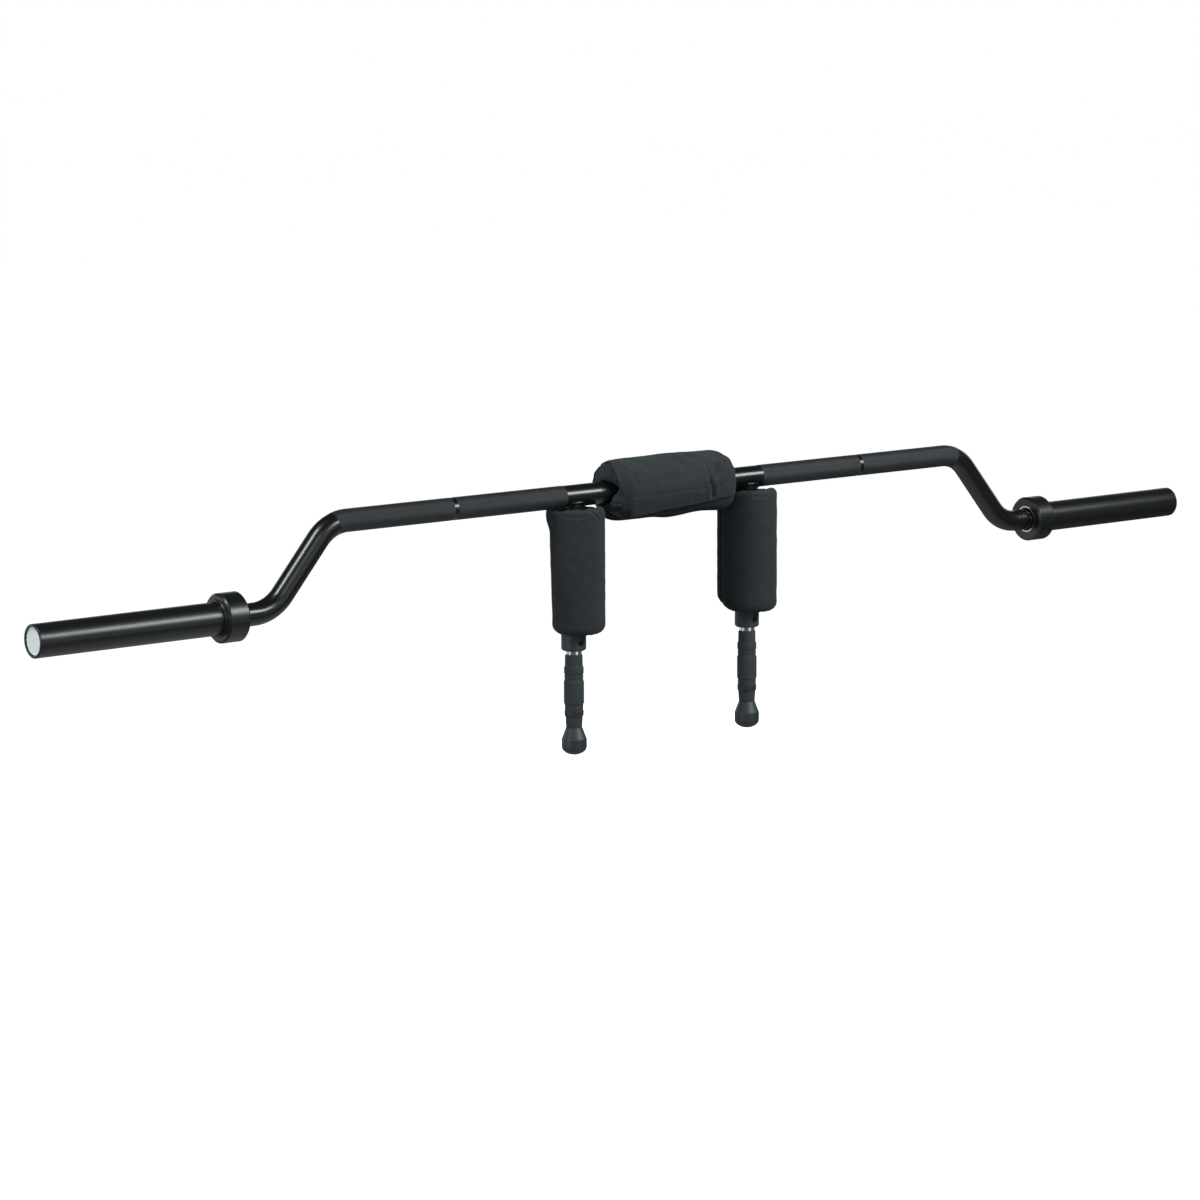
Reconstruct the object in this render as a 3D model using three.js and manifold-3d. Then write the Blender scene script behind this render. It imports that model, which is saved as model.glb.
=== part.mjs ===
// A safety squat bar: a cambered barbell with turning sleeves, two padded arms with handles, and a neck roll.
// Millimetres, Z up. X runs along the bar, and the origin is the middle of the level tube's axis.
// The camber and the handles hang down along -Z. The set screws and the neck roll's flap look along -Y.

import * as THREE from "three";
import { mergeVertices } from "three/addons/utils/BufferGeometryUtils.js";
import Module from "manifold-3d";

const wasm = await Module();
wasm.setup();

// Facets round the pieces, and steps along their curves.
const BAR_SIDES = 24;
const SLEEVE_SIDES = 28;
const SMALL_SIDES = 20;
const PAD_SIDES = 28;
const CIRCLIP_STEPS = 10;
const BEND_STEPS = 9;
const CORNER_STEPS = 4;
const DOME_STEPS = 5;

// Fits between pieces. The first two are on the radius or along the axis.
const SEAT_GAP = 0.3; // pieces pressed, screwed, welded or sewn together
const RUNNING_GAP = 0.4; // a bush that turns on the bar
const CUT_OVERRUN = 5; // how far a cutting shape runs past what it cuts

// Bar: one round steel rod, bent twice on each side, with knurled grips and turned ends.
const BAR_DIAMETER = 35;
const UPPER_BEND_AT = 635; // along X, where the level tube and the slope meet
const CAMBER_DROP = 125; // from the level tube's axis down to the sleeves' axis
const CAMBER_REACH = 105; // along X, from the upper bend's corner to the lower bend's
const BEND_RADIUS = 68;
const STUB_LENGTH = 26; // straight rod between the lower bend and the collar
const KNURL_START = 199;
const KNURL_PAST_BEND = 22; // along the rod, from where the upper bend starts
const KNURL_RAISE = 0.2;
const RING_MARK_AT = 410.5;
const RING_MARK_WIDTH = 7.5;
const JOURNAL_DIAMETER = 30; // the turned end that the outer bush runs on
const BAR_TIP = 4; // rod past the circlip groove
const BAR_CHAMFER = 1.5;

// Sleeve and collar, from the bar outwards. The sleeve comes out at the 50 mm that disc plates need.
const BUSH_WALL = 4.1;
const BUSH_SHOULDER = 1; // how far the sleeve's end covers the inner bush
const SLEEVE_WALL = 4;
const SLEEVE_LENGTH = 309; // that plates can load, from the collar's face
const SLEEVE_SEAT = 11; // length of the sleeve inside the collar
const SLEEVE_CHAMFER = 1;
const COLLAR_RIM = 12.35; // how far the collar stands out from the sleeve
const COLLAR_WIDTH = 36.5;
const COLLAR_CHAMFER = 3;
const BOSS_RIM = 3; // low ring round the sleeve on the collar's outer face
const BOSS_HEIGHT = 2.5;
const BOSS_CHAMFER = 1;

// Circlips, thrust washer and outer bush.
const CIRCLIP_THICKNESS = 2;
const CIRCLIP_RECESS = 1; // of the collar's circlip, from the collar's inner face
const CIRCLIP_WIDTH = 3.3;
const GROOVE_DEPTH = 1;
const CIRCLIP_OPENING = 0.6; // radians left open at the back
const WASHER_THICKNESS = 3;
const WASHER_MARGIN = 1.5; // between the washer's edge and the sleeve's bore
const OUTER_BUSH_LENGTH = 25;

// End cap: a plug pushed into the sleeve.
const CAP_RECESS = 2;
const CAP_FACE = 3;
const CAP_SKIRT = 12; // whole depth of the plug
const CAP_SKIRT_WALL = 2.5;
const CAP_RIM_WIDTH = 2.2;
const CAP_RIM_HEIGHT = 0.5;
const CAP_CLEARANCE = 6; // free room between the plug and the bar's end

// Arms, hubs and handle rods.
const ARM_AT = 177; // along X
const ROD_DIAMETER = 25;
const ARM_BORE_GAP = 0.5; // round the rod, inside the arm
const ARM_WALL = 3;
const ARM_SEAT = 12; // length of the arm inside the hub
const WELD_LEG = 3.5;
const WELD_TOP = 9; // below the bar's axis
const HUB_WALL = 3.5; // round the arm
const HUB_SHOWING = 29; // below the pad
const HUB_INTO_PAD = 3;
const HUB_CHAMFER = 3.5;
const ROD_SHOWING = 6.5; // chrome below the hub
const ROD_IN_HUB = 45; // from the hub's lower end upwards
const ROD_CHAMFER = 1.5;
const CORE_DIAMETER = 16; // of the rod inside the grip

// Set screw: a socket screw through the hub's wall.
const SCREW_DIAMETER = 9.4;
const SCREW_RECESS = 2.3;
const SCREW_DOWN = 16.5; // from the pad's lower end to the screw's axis
const SOCKET_ACROSS = 5;
const SOCKET_DEPTH = 3.5;

// Handle grip and knob.
const GRIP_LENGTH = 116;
const GRIP_DIAMETER = 31.9;
const KNOB_DIAMETER = 40.2;
const KNOB_CONE = 19;
const KNOB_BAND = 12.5;
const KNOB_DOME = 13.5;
const KNOB_BORE_DEPTH = 28;

// The grip's outline from its top, as shares of its length and of its largest radius.
const GRIP_OUTLINE_SHARES = [
  [0, 0.84], [0.008, 0.87], [0.17, 0.895], [0.18, 0.97], [0.26, 0.97], [0.27, 0.93], [0.36, 0.93],
  [0.37, 1], [0.67, 1], [0.68, 0.925], [0.77, 0.92], [0.78, 0.965], [0.845, 0.955], [0.86, 0.865], [1, 0.81],
];

// Soft pads: a foam core in a sewn cover, shut by a flap over a hook strip.
const COVER_WALL = 2;
const STRIP_THICKNESS = 1.2;
const FLAP_THICKNESS = 1.5;

// Shoulder pads. They are oval, with the long way across where the cover overlaps.
const PAD_TOP = 24; // below the bar's axis
const PAD_LENGTH = 192;
const PAD_WIDTH = 87; // the short way across
const PAD_SWELL = 8.5; // added the long way across
const PAD_SWELL_ANGLE = 0.915; // radians from the inward side to the back
const PAD_INWARD = 3.5; // shift of the pad's outline from the arm
const PAD_FORWARD = 7;
const PAD_CROWN = 0.8;
const PAD_CORNER = 11;
const PAD_STRIP_WIDTH = 25;
const PAD_FLAP_WIDTH = 48;
const PAD_CLOSURE_MARGIN = 14; // bare cover above and below the flap
const PAD_DISH_MARGIN = 2; // of the hollow round the hub

// Neck pad, a roll round the bar, a little squarer than a circle.
const NECK_LENGTH = 226;
const NECK_SHIFT = 7; // along X
const NECK_HEIGHT = 93;
const NECK_SQUARENESS = 2.5; // 2 would be a circle
const NECK_CROWN = 0.8;
const NECK_CORNER = 7;
const NECK_DISH = 7; // how far the ends are drawn in at the bar
const NECK_STRIP_WIDTH = 27;
const NECK_FLAP_MARGIN = 3; // bare cover at each end of the flap
const NECK_FLAP_START = 2.2; // radians from the front, over the top, to the back
const NECK_FLAP_END = -0.75; // radians from the front, downwards

// Sizes that follow.
const barRadius = BAR_DIAMETER / 2;
const journalRadius = JOURNAL_DIAMETER / 2;
const bushRadius = barRadius + RUNNING_GAP + BUSH_WALL;
const collarBore = bushRadius + SEAT_GAP;
const sleeveBore = bushRadius - BUSH_SHOULDER;
const sleeveRadius = sleeveBore + SLEEVE_WALL;
const collarRadius = sleeveRadius + COLLAR_RIM;
const collarSeat = COLLAR_WIDTH - SLEEVE_SEAT;
const sleeveEnd = COLLAR_WIDTH + SLEEVE_LENGTH;
const barEnd = sleeveEnd - CAP_RECESS - CAP_SKIRT - CAP_CLEARANCE;
const grooveWidth = CIRCLIP_THICKNESS + 2 * SEAT_GAP;
const grooveEnd = barEnd - BAR_TIP;
const grooveStart = grooveEnd - grooveWidth;
const washerStart = grooveStart - WASHER_THICKNESS;
const outerBushStart = washerStart - SEAT_GAP - OUTER_BUSH_LENGTH;
const shoulderAt = outerBushStart - SEAT_GAP;

const rodRadius = ROD_DIAMETER / 2;
const armBore = rodRadius + ARM_BORE_GAP;
const armRadius = armBore + ARM_WALL;
const hubRadius = armRadius + SEAT_GAP + HUB_WALL;
const padBottom = PAD_TOP + PAD_LENGTH;
const hubTop = padBottom - HUB_INTO_PAD;
const hubBottom = padBottom + HUB_SHOWING;
const gripTop = hubBottom + ROD_SHOWING;
const knobTop = gripTop + GRIP_LENGTH;
const neckRadius = NECK_HEIGHT / 2;

const camberAngle = Math.atan2(CAMBER_DROP, CAMBER_REACH);
const bendTangent = BEND_RADIUS * Math.tan(camberAngle / 2);
const bendLength = BEND_RADIUS * camberAngle;
const slopeLength = Math.hypot(CAMBER_DROP, CAMBER_REACH) - 2 * bendTangent;
const collarFace = UPPER_BEND_AT + CAMBER_REACH + bendTangent + STUB_LENGTH;

// Lengths along the rod's centre line, from its middle to where each stretch begins.
const upperBendStart = UPPER_BEND_AT - bendTangent;
const slopeStart = upperBendStart + bendLength;
const lowerBendStart = slopeStart + slopeLength;
const stubStart = lowerBendStart + bendLength;
const collarStart = stubStart + STUB_LENGTH;

function paint(color, roughness, metalness) {
  return new THREE.MeshStandardMaterial({ color, roughness, metalness });
}

const FINISH = {
  bar: paint(0x151617, 0.28, 0.5),
  sleeve: paint(0x1b1c1d, 0.42, 0.5),
  brightSteel: paint(0xb9bdc0, 0.25, 1),
  bush: paint(0x2a2723, 0.6, 0.1),
  cap: paint(0xd6d8d9, 0.35, 0.3),
  hub: paint(0x2b2e30, 0.5, 0.4),
  chrome: paint(0xd9dcde, 0.12, 1),
  grip: paint(0x2c2f30, 0.8, 0),
  knob: paint(0x313436, 0.45, 0),
  fabric: paint(0x2a2c2d, 0.95, 0),
  foam: paint(0x3a3a38, 1, 0),
  hookTape: paint(0x171717, 1, 0),
};

// A bored polygon's flats come closer to the axis than its corners, so its corners stand further out.
const boreCorner = (radius, sides) => radius / Math.cos(Math.PI / sides);

// Turns a mesh the right way out, by the sign of its volume.
function facingOut(geometry) {
  const plain = geometry.index ? geometry.toNonIndexed() : geometry;
  const [a, b, c] = [new THREE.Vector3(), new THREE.Vector3(), new THREE.Vector3()];
  const points = plain.getAttribute("position");
  let volume = 0;
  for (let i = 0; i < points.count; i += 3) {
    a.fromBufferAttribute(points, i);
    b.fromBufferAttribute(points, i + 1);
    c.fromBufferAttribute(points, i + 2);
    volume += a.dot(b.cross(c));
  }
  if (volume > 0) return geometry;
  const order = geometry.index.array;
  for (let i = 0; i < order.length; i += 3) [order[i], order[i + 1]] = [order[i + 1], order[i]];
  return geometry;
}

// A turned piece on the X axis, from a closed outline of [radius, station] pairs.
function turned(outline, sides) {
  const points = outline.map(([radius, station]) => new THREE.Vector2(radius, station));
  const closed = outline.some(([radius]) => radius === 0) ? points : [...points, points[0].clone()];
  return facingOut(new THREE.LatheGeometry(closed, sides)).rotateZ(-Math.PI / 2);
}

// The same on the Z axis, with stations measured downwards.
const turnedDown = (outline, sides) => turned(outline, sides).rotateY(Math.PI / 2);

// A plain ring between two radii.
function ringOutline(inner, outer, start, end) {
  return [[inner, start], [outer, start], [outer, end], [inner, end]];
}

// Joins rings of equal counts into one skin: each ring to the next, and the last to the first or to end caps.
function skinned(rings, capped) {
  const sides = rings[0].length;
  const points = rings.flat();
  const index = [];
  const last = capped ? rings.length - 1 : rings.length;
  for (let k = 0; k < last; k++) {
    const here = k * sides;
    const next = ((k + 1) % rings.length) * sides;
    for (let i = 0; i < sides; i++) {
      const j = (i + 1) % sides;
      index.push(here + i, here + j, next + j, here + i, next + j, next + i);
    }
  }
  const end = (rings.length - 1) * sides;
  for (let i = 1; capped && i < sides - 1; i++) index.push(0, i + 1, i, end, end + i, end + i + 1);
  return facingOut(new THREE.BufferGeometry().setFromPoints(points).setIndex(index));
}

function toSolid(geometry) {
  const bare = new THREE.BufferGeometry().setAttribute("position", geometry.getAttribute("position"));
  if (geometry.index) bare.setIndex(geometry.index);
  const merged = mergeVertices(bare);
  const mesh = { numProp: 3, vertProperties: merged.attributes.position.array };
  return new wasm.Manifold(new wasm.Mesh({ ...mesh, triVerts: new Uint32Array(merged.index.array) }));
}

function fromSolid(solid) {
  const { vertProperties, triVerts } = solid.getMesh();
  const geometry = new THREE.BufferGeometry();
  geometry.setAttribute("position", new THREE.BufferAttribute(vertProperties, 3));
  geometry.setIndex(new THREE.BufferAttribute(triVerts, 1));
  return geometry;
}

function cut(geometry, ...tools) {
  return fromSolid(tools.reduce((solid, tool) => solid.subtract(toSolid(tool)), toSolid(geometry)));
}

function joined(geometry, ...more) {
  return fromSolid(more.reduce((solid, piece) => solid.add(toSolid(piece)), toSolid(geometry)));
}

const root = new THREE.Group();
function add(name, geometry, finish, parent = root) {
  const mesh = new THREE.Mesh(geometry, FINISH[finish]);
  mesh.name = name;
  parent.add(mesh);
}

// Where the rod's centre line is, and how far it leans, at a length from its middle.
function centreLine(length) {
  const s = Math.abs(length);
  const side = Math.sign(length);
  const at = (x, z, lean) => ({ x: side * x, z, lean: side * lean });
  const bend = (turn) => [BEND_RADIUS * Math.sin(turn), BEND_RADIUS * (1 - Math.cos(turn))];
  if (s <= upperBendStart) return at(s, 0, 0);
  if (s <= slopeStart) {
    const turn = (s - upperBendStart) / BEND_RADIUS;
    const [along, down] = bend(turn);
    return at(upperBendStart + along, -down, turn);
  }
  if (s <= lowerBendStart) {
    const [along, down] = bend(camberAngle);
    const run = s - slopeStart;
    const x = upperBendStart + along + run * Math.cos(camberAngle);
    return at(x, -down - run * Math.sin(camberAngle), camberAngle);
  }
  const turn = Math.max(stubStart - s, 0) / BEND_RADIUS;
  const [along, down] = bend(turn);
  const past = Math.max(s - stubStart, 0);
  return at(collarFace - STUB_LENGTH - along + past, down - CAMBER_DROP, turn);
}

// Half of the rod as [length, radius] pairs from the middle outwards. Two pairs at one length make a step.
function rodProfile() {
  const raised = barRadius + KNURL_RAISE;
  const grooved = journalRadius - GROOVE_DEPTH;
  const markStart = RING_MARK_AT - RING_MARK_WIDTH / 2;
  const steps = [
    [KNURL_START, barRadius], [KNURL_START, raised],
    [markStart, raised], [markStart, barRadius],
    [markStart + RING_MARK_WIDTH, barRadius], [markStart + RING_MARK_WIDTH, raised],
    [upperBendStart + KNURL_PAST_BEND, raised], [upperBendStart + KNURL_PAST_BEND, barRadius],
    [collarStart + shoulderAt, barRadius], [collarStart + shoulderAt, journalRadius],
    [collarStart + grooveStart, journalRadius], [collarStart + grooveStart, grooved],
    [collarStart + grooveEnd, grooved], [collarStart + grooveEnd, journalRadius],
    [collarStart + barEnd - BAR_CHAMFER, journalRadius], [collarStart + barEnd, journalRadius - BAR_CHAMFER],
  ];
  for (const start of [upperBendStart, lowerBendStart]) {
    for (let k = 0; k <= BEND_STEPS; k++) {
      const length = start + (bendLength * k) / BEND_STEPS;
      const knurled = length > KNURL_START && length < upperBendStart + KNURL_PAST_BEND;
      steps.push([length, knurled ? raised : barRadius]);
    }
  }
  // A stable sort keeps the two pairs of each step in order.
  return steps.sort((a, b) => a[0] - b[0]);
}

function bar() {
  const half = rodProfile();
  const whole = [...half.map(([length, radius]) => [-length, radius]).reverse(), ...half];
  const rings = whole.map(([length, radius]) => {
    const { x, z, lean } = centreLine(length);
    return Array.from({ length: BAR_SIDES }, (_, i) => {
      const angle = (2 * Math.PI * i) / BAR_SIDES;
      const up = radius * Math.cos(angle);
      return new THREE.Vector3(x + up * Math.sin(lean), radius * Math.sin(angle), z + up * Math.cos(lean));
    });
  });
  add("bar_shaft", skinned(rings, true), "bar");
}

// A circlip: a flat ring, open at the back of the bar.
function circlip(inner, outer, start) {
  const shape = new THREE.Shape();
  const [from, to] = [CIRCLIP_OPENING / 2, 2 * Math.PI - CIRCLIP_OPENING / 2];
  shape.absarc(0, 0, outer, from, to, false);
  shape.absarc(0, 0, inner, to, from, true);
  const options = { depth: CIRCLIP_THICKNESS, bevelEnabled: false, curveSegments: CIRCLIP_STEPS };
  const flat = new THREE.ExtrudeGeometry(shape, options);
  return flat.rotateZ(Math.PI / 2).rotateY(Math.PI / 2).translate(start, 0, 0);
}

function collarOutline() {
  const [face, far] = [0, COLLAR_WIDTH];
  const bossRadius = sleeveRadius + SEAT_GAP + BOSS_RIM;
  const seat = boreCorner(sleeveRadius + SEAT_GAP, SLEEVE_SIDES);
  const bore = boreCorner(collarBore, SLEEVE_SIDES);
  const grooveOuter = boreCorner(collarBore + GROOVE_DEPTH, SLEEVE_SIDES);
  const grooveFrom = CIRCLIP_RECESS - SEAT_GAP;
  const grooveTo = grooveFrom + grooveWidth;
  return [
    [bore, face], [collarRadius - COLLAR_CHAMFER, face], [collarRadius, face + COLLAR_CHAMFER],
    [collarRadius, far - COLLAR_CHAMFER], [collarRadius - COLLAR_CHAMFER, far], [bossRadius, far],
    [bossRadius, far + BOSS_HEIGHT - BOSS_CHAMFER], [bossRadius - BOSS_CHAMFER, far + BOSS_HEIGHT],
    [seat, far + BOSS_HEIGHT], [seat, collarSeat], [bore, collarSeat],
    [bore, grooveTo], [grooveOuter, grooveTo], [grooveOuter, grooveFrom], [bore, grooveFrom],
  ];
}

function endCapOutline() {
  const face = sleeveEnd - CAP_RECESS;
  const radius = sleeveBore - SEAT_GAP;
  const skirt = radius - CAP_SKIRT_WALL;
  const rim = radius - CAP_RIM_WIDTH;
  return [
    [0, face - CAP_RIM_HEIGHT], [rim, face - CAP_RIM_HEIGHT], [rim, face], [radius, face],
    [radius, face - CAP_SKIRT], [skirt, face - CAP_SKIRT], [skirt, face - CAP_FACE], [0, face - CAP_FACE],
  ];
}

// The sleeve, the collar and what turns or holds inside them, with stations from the collar's inner face.
function sleeveAssembly(side, direction) {
  const group = new THREE.Group();
  group.position.set(direction * collarFace, 0, -CAMBER_DROP);
  group.rotation.z = direction > 0 ? 0 : Math.PI;
  root.add(group);

  const sleeveStart = collarSeat + SEAT_GAP;
  const bore = boreCorner(sleeveBore, SLEEVE_SIDES);
  const sleeve = [
    [bore, sleeveStart], [sleeveRadius, sleeveStart], [sleeveRadius, sleeveEnd - SLEEVE_CHAMFER],
    [sleeveRadius - SLEEVE_CHAMFER, sleeveEnd], [bore, sleeveEnd],
  ];
  const innerBush = ringOutline(
    boreCorner(barRadius + RUNNING_GAP, SMALL_SIDES), bushRadius,
    CIRCLIP_RECESS + CIRCLIP_THICKNESS + SEAT_GAP, collarSeat,
  );
  const outerBush = ringOutline(
    boreCorner(journalRadius + RUNNING_GAP, SMALL_SIDES), sleeveBore - SEAT_GAP,
    outerBushStart, outerBushStart + OUTER_BUSH_LENGTH,
  );
  const washer = ringOutline(
    boreCorner(journalRadius + SEAT_GAP, SMALL_SIDES), sleeveBore - WASHER_MARGIN,
    washerStart, washerStart + WASHER_THICKNESS,
  );
  const clipOuter = collarBore + GROOVE_DEPTH - SEAT_GAP;
  const clipInner = journalRadius - GROOVE_DEPTH + SEAT_GAP;

  add(side + "_collar", turned(collarOutline(), SLEEVE_SIDES), "sleeve", group);
  add(side + "_sleeve", turned(sleeve, SLEEVE_SIDES), "sleeve", group);
  add(side + "_inner_bush", turned(innerBush, SMALL_SIDES), "bush", group);
  const collarClip = circlip(clipOuter - CIRCLIP_WIDTH, clipOuter, CIRCLIP_RECESS);
  add(side + "_collar_circlip", collarClip, "brightSteel", group);
  add(side + "_outer_bush", turned(outerBush, SMALL_SIDES), "bush", group);
  add(side + "_thrust_washer", turned(washer, SMALL_SIDES), "brightSteel", group);
  const barClip = circlip(clipInner, clipInner + CIRCLIP_WIDTH, grooveStart + SEAT_GAP);
  add(side + "_bar_circlip", barClip, "brightSteel", group);
  add(side + "_end_cap", turned(endCapOutline(), SMALL_SIDES), "cap", group);
}

// The arm: a tube coped to the underside of the bar, with its weld.
function arm() {
  const end = hubTop + ARM_SEAT - SEAT_GAP;
  const weldFoot = barRadius + 2 * WELD_LEG;
  const tube = turnedDown(ringOutline(boreCorner(armBore, SMALL_SIDES), armRadius, 0, end), SMALL_SIDES);
  const weld = turnedDown([
    [armRadius - ARM_WALL / 2, 0], [armRadius + WELD_LEG, 0],
    [armRadius + WELD_LEG, barRadius], [armRadius, weldFoot], [armRadius - ARM_WALL / 2, weldFoot],
  ], SMALL_SIDES);
  const reach = 2 * (armRadius + WELD_LEG + CUT_OVERRUN);
  const saddleRadius = boreCorner(barRadius + SEAT_GAP, BAR_SIDES);
  const saddle = new THREE.CylinderGeometry(saddleRadius, saddleRadius, reach, BAR_SIDES);
  // The weld stops short of the bar's widest line.
  const above = new THREE.BoxGeometry(reach, reach, WELD_TOP + CUT_OVERRUN);
  above.translate(0, 0, (CUT_OVERRUN - WELD_TOP) / 2);
  return cut(joined(tube, weld), saddle.rotateZ(Math.PI / 2), above);
}

function hub() {
  const seat = boreCorner(armRadius + SEAT_GAP, SMALL_SIDES);
  const socket = boreCorner(rodRadius + SEAT_GAP, SMALL_SIDES);
  const seatEnd = hubTop + ARM_SEAT;
  const body = turnedDown([
    [seat, hubTop], [hubRadius, hubTop], [hubRadius, hubBottom - HUB_CHAMFER],
    [hubRadius - HUB_CHAMFER, hubBottom], [socket, hubBottom], [socket, seatEnd], [seat, seatEnd],
  ], BAR_SIDES);
  const hole = boreCorner(SCREW_DIAMETER / 2 + SEAT_GAP, SMALL_SIDES);
  const drill = new THREE.CylinderGeometry(hole, hole, hubRadius + CUT_OVERRUN, SMALL_SIDES);
  return cut(body, drill.translate(0, -(hubRadius + CUT_OVERRUN) / 2, -(padBottom + SCREW_DOWN)));
}

function setScrew() {
  const radius = SCREW_DIAMETER / 2;
  const inner = rodRadius + SEAT_GAP;
  const outer = hubRadius - SCREW_RECESS;
  const body = new THREE.CylinderGeometry(radius, radius, outer - inner, SMALL_SIDES);
  const key = new THREE.CylinderGeometry(1, 1, 1, 6);
  const corner = SOCKET_ACROSS / 2 / Math.cos(Math.PI / 6);
  key.scale(corner, SOCKET_DEPTH + CUT_OVERRUN, corner);
  body.translate(0, -(inner + outer) / 2, 0);
  key.translate(0, -outer + SOCKET_DEPTH / 2 - CUT_OVERRUN / 2, 0);
  return cut(body, key).translate(0, 0, -(padBottom + SCREW_DOWN));
}

function handleRod() {
  const top = hubBottom - ROD_IN_HUB;
  const core = CORE_DIAMETER / 2;
  const coreEnd = knobTop + KNOB_BORE_DEPTH - SEAT_GAP;
  return turnedDown([
    [0, top], [rodRadius - ROD_CHAMFER, top], [rodRadius, top + ROD_CHAMFER],
    [rodRadius, gripTop - SEAT_GAP], [core, gripTop - SEAT_GAP], [core, coreEnd], [0, coreEnd],
  ], SMALL_SIDES);
}

function grip() {
  const largest = GRIP_DIAMETER / 2;
  const bore = boreCorner(CORE_DIAMETER / 2 + SEAT_GAP, SMALL_SIDES);
  const outside = GRIP_OUTLINE_SHARES.map(([down, out]) => [out * largest, gripTop + down * GRIP_LENGTH]);
  return turnedDown([[bore, gripTop], ...outside, [bore, knobTop]], SMALL_SIDES);
}

// The knob: a cone, a band and a dome, on the end of the rod's core.
function knob() {
  const top = knobTop + SEAT_GAP;
  const neck = (GRIP_OUTLINE_SHARES.at(-1)[1] * GRIP_DIAMETER) / 2;
  const largest = KNOB_DIAMETER / 2;
  const bore = boreCorner(CORE_DIAMETER / 2 + SEAT_GAP, SMALL_SIDES);
  const boreEnd = knobTop + KNOB_BORE_DEPTH;
  const domeTop = knobTop + KNOB_CONE + KNOB_BAND;
  const dome = Array.from({ length: DOME_STEPS }, (_, k) => {
    const angle = ((Math.PI / 2) * (k + 1)) / DOME_STEPS;
    return [k + 1 < DOME_STEPS ? largest * Math.cos(angle) : 0, domeTop + KNOB_DOME * Math.sin(angle)];
  });
  return turnedDown([
    [0, boreEnd], [bore, boreEnd], [bore, top], [neck, top],
    [largest, knobTop + KNOB_CONE], [largest, domeTop], ...dome,
  ], SMALL_SIDES);
}

function armAssembly(side, direction) {
  const group = new THREE.Group();
  group.position.x = direction * ARM_AT;
  root.add(group);
  add(side + "_arm", arm(), "bar", group);
  add(side + "_hub", hub(), "hub", group);
  add(side + "_set_screw", setScrew(), "hub", group);
  add(side + "_handle_rod", handleRod(), "chrome", group);
  add(side + "_grip", grip(), "grip", group);
  add(side + "_knob", knob(), "knob", group);
}

const turnOf = (i) => (2 * Math.PI * i) / PAD_SIDES;

// A rounded corner of a pad's section, as [inset, depth] pairs from the end face to the side.
function cornerSteps(radius) {
  return Array.from({ length: CORNER_STEPS + 1 }, (_, k) => {
    const angle = ((Math.PI / 2) * k) / CORNER_STEPS;
    return [radius * (1 - Math.sin(angle)), radius * (1 - Math.cos(angle))];
  });
}

// The outside of a pad from one end to the other, as [inset from the widest outline, station] pairs.
function padSide(length, corner, crown) {
  const start = cornerSteps(corner).map(([inset, depth]) => [inset + crown, depth]);
  const end = start.map(([inset, depth]) => [inset, length - depth]).reverse();
  const quarter = (length - 2 * corner) / 4;
  const middle = [1, 2, 3].map((k) => [k === 2 ? 0 : crown / 4, corner + k * quarter]);
  return [...start, ...middle, ...end];
}

// A pad's cover: an outer wall, two drawn-in ends and an open bore, round the room for the foam.
// skin(angle, inset) and bore(angle, outset) give points across the pad, and place puts them in space.
function coverRings({ length, corner, crown, dish, dishRadius, skin, bore, place }) {
  const ringOf = (at, station) => Array.from({ length: PAD_SIDES }, (_, i) => place(at(turnOf(i)), station));
  const side = padSide(length, corner, crown);
  const wall = COVER_WALL;
  const outside = side.map(([inset, station]) => ringOf((a) => skin(a, inset), station));
  const shallow = wall + crown;
  const deep = shallow + corner / 2;
  const room = [
    [deep, dish + wall], [shallow, corner], [shallow, length - corner], [deep, length - dish - wall],
  ];
  const inside = room.map(([inset, station]) => ringOf((a) => skin(a, inset), station)).reverse();
  const lip = (station) => ringOf((a) => bore(a, 0), station);
  const hollow = (station) => ringOf((a) => bore(a, dishRadius), station);
  return [
    lip(dish), hollow(dish), ...outside, hollow(length - dish), lip(length - dish),
    lip(length - dish - wall), ...inside, lip(dish + wall),
  ];
}

// The foam core fills the cover's room and leaves the bore free.
function foamRings({ length, corner, crown, dish, skin, bore, place }) {
  const ringOf = (at, station) => Array.from({ length: PAD_SIDES }, (_, i) => place(at(turnOf(i)), station));
  const inset = COVER_WALL + crown + SEAT_GAP;
  const start = dish + COVER_WALL + SEAT_GAP;
  const shoulder = corner + SEAT_GAP;
  return [
    ringOf((a) => bore(a, 0), start),
    ringOf((a) => skin(a, inset + corner / 2), start),
    ringOf((a) => skin(a, inset), shoulder),
    ringOf((a) => skin(a, inset), length - shoulder),
    ringOf((a) => skin(a, inset + corner / 2), length - start),
    ringOf((a) => bore(a, 0), length - start),
  ];
}

// A sheet that lies on a pad between two angles, as a flat outline ready to extrude along the pad.
function wrapShape(skin, from, to, lift, thickness) {
  const steps = Math.max(2, Math.ceil((Math.abs(to - from) * PAD_SIDES) / (2 * Math.PI)));
  const angles = Array.from({ length: steps + 1 }, (_, k) => from + ((to - from) * k) / steps);
  const outer = angles.map((a) => skin(a, -lift - thickness));
  const inner = angles.map((a) => skin(a, -lift)).reverse();
  return new THREE.Shape([...outer, ...inner].map(([u, v]) => new THREE.Vector2(u, v)));
}

// A point moved towards a centre by a distance.
function towards([u, v], [cu, cv], distance) {
  const length = Math.hypot(u - cu, v - cv);
  return [u - ((u - cu) * distance) / length, v - ((v - cv) * distance) / length];
}

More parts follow.
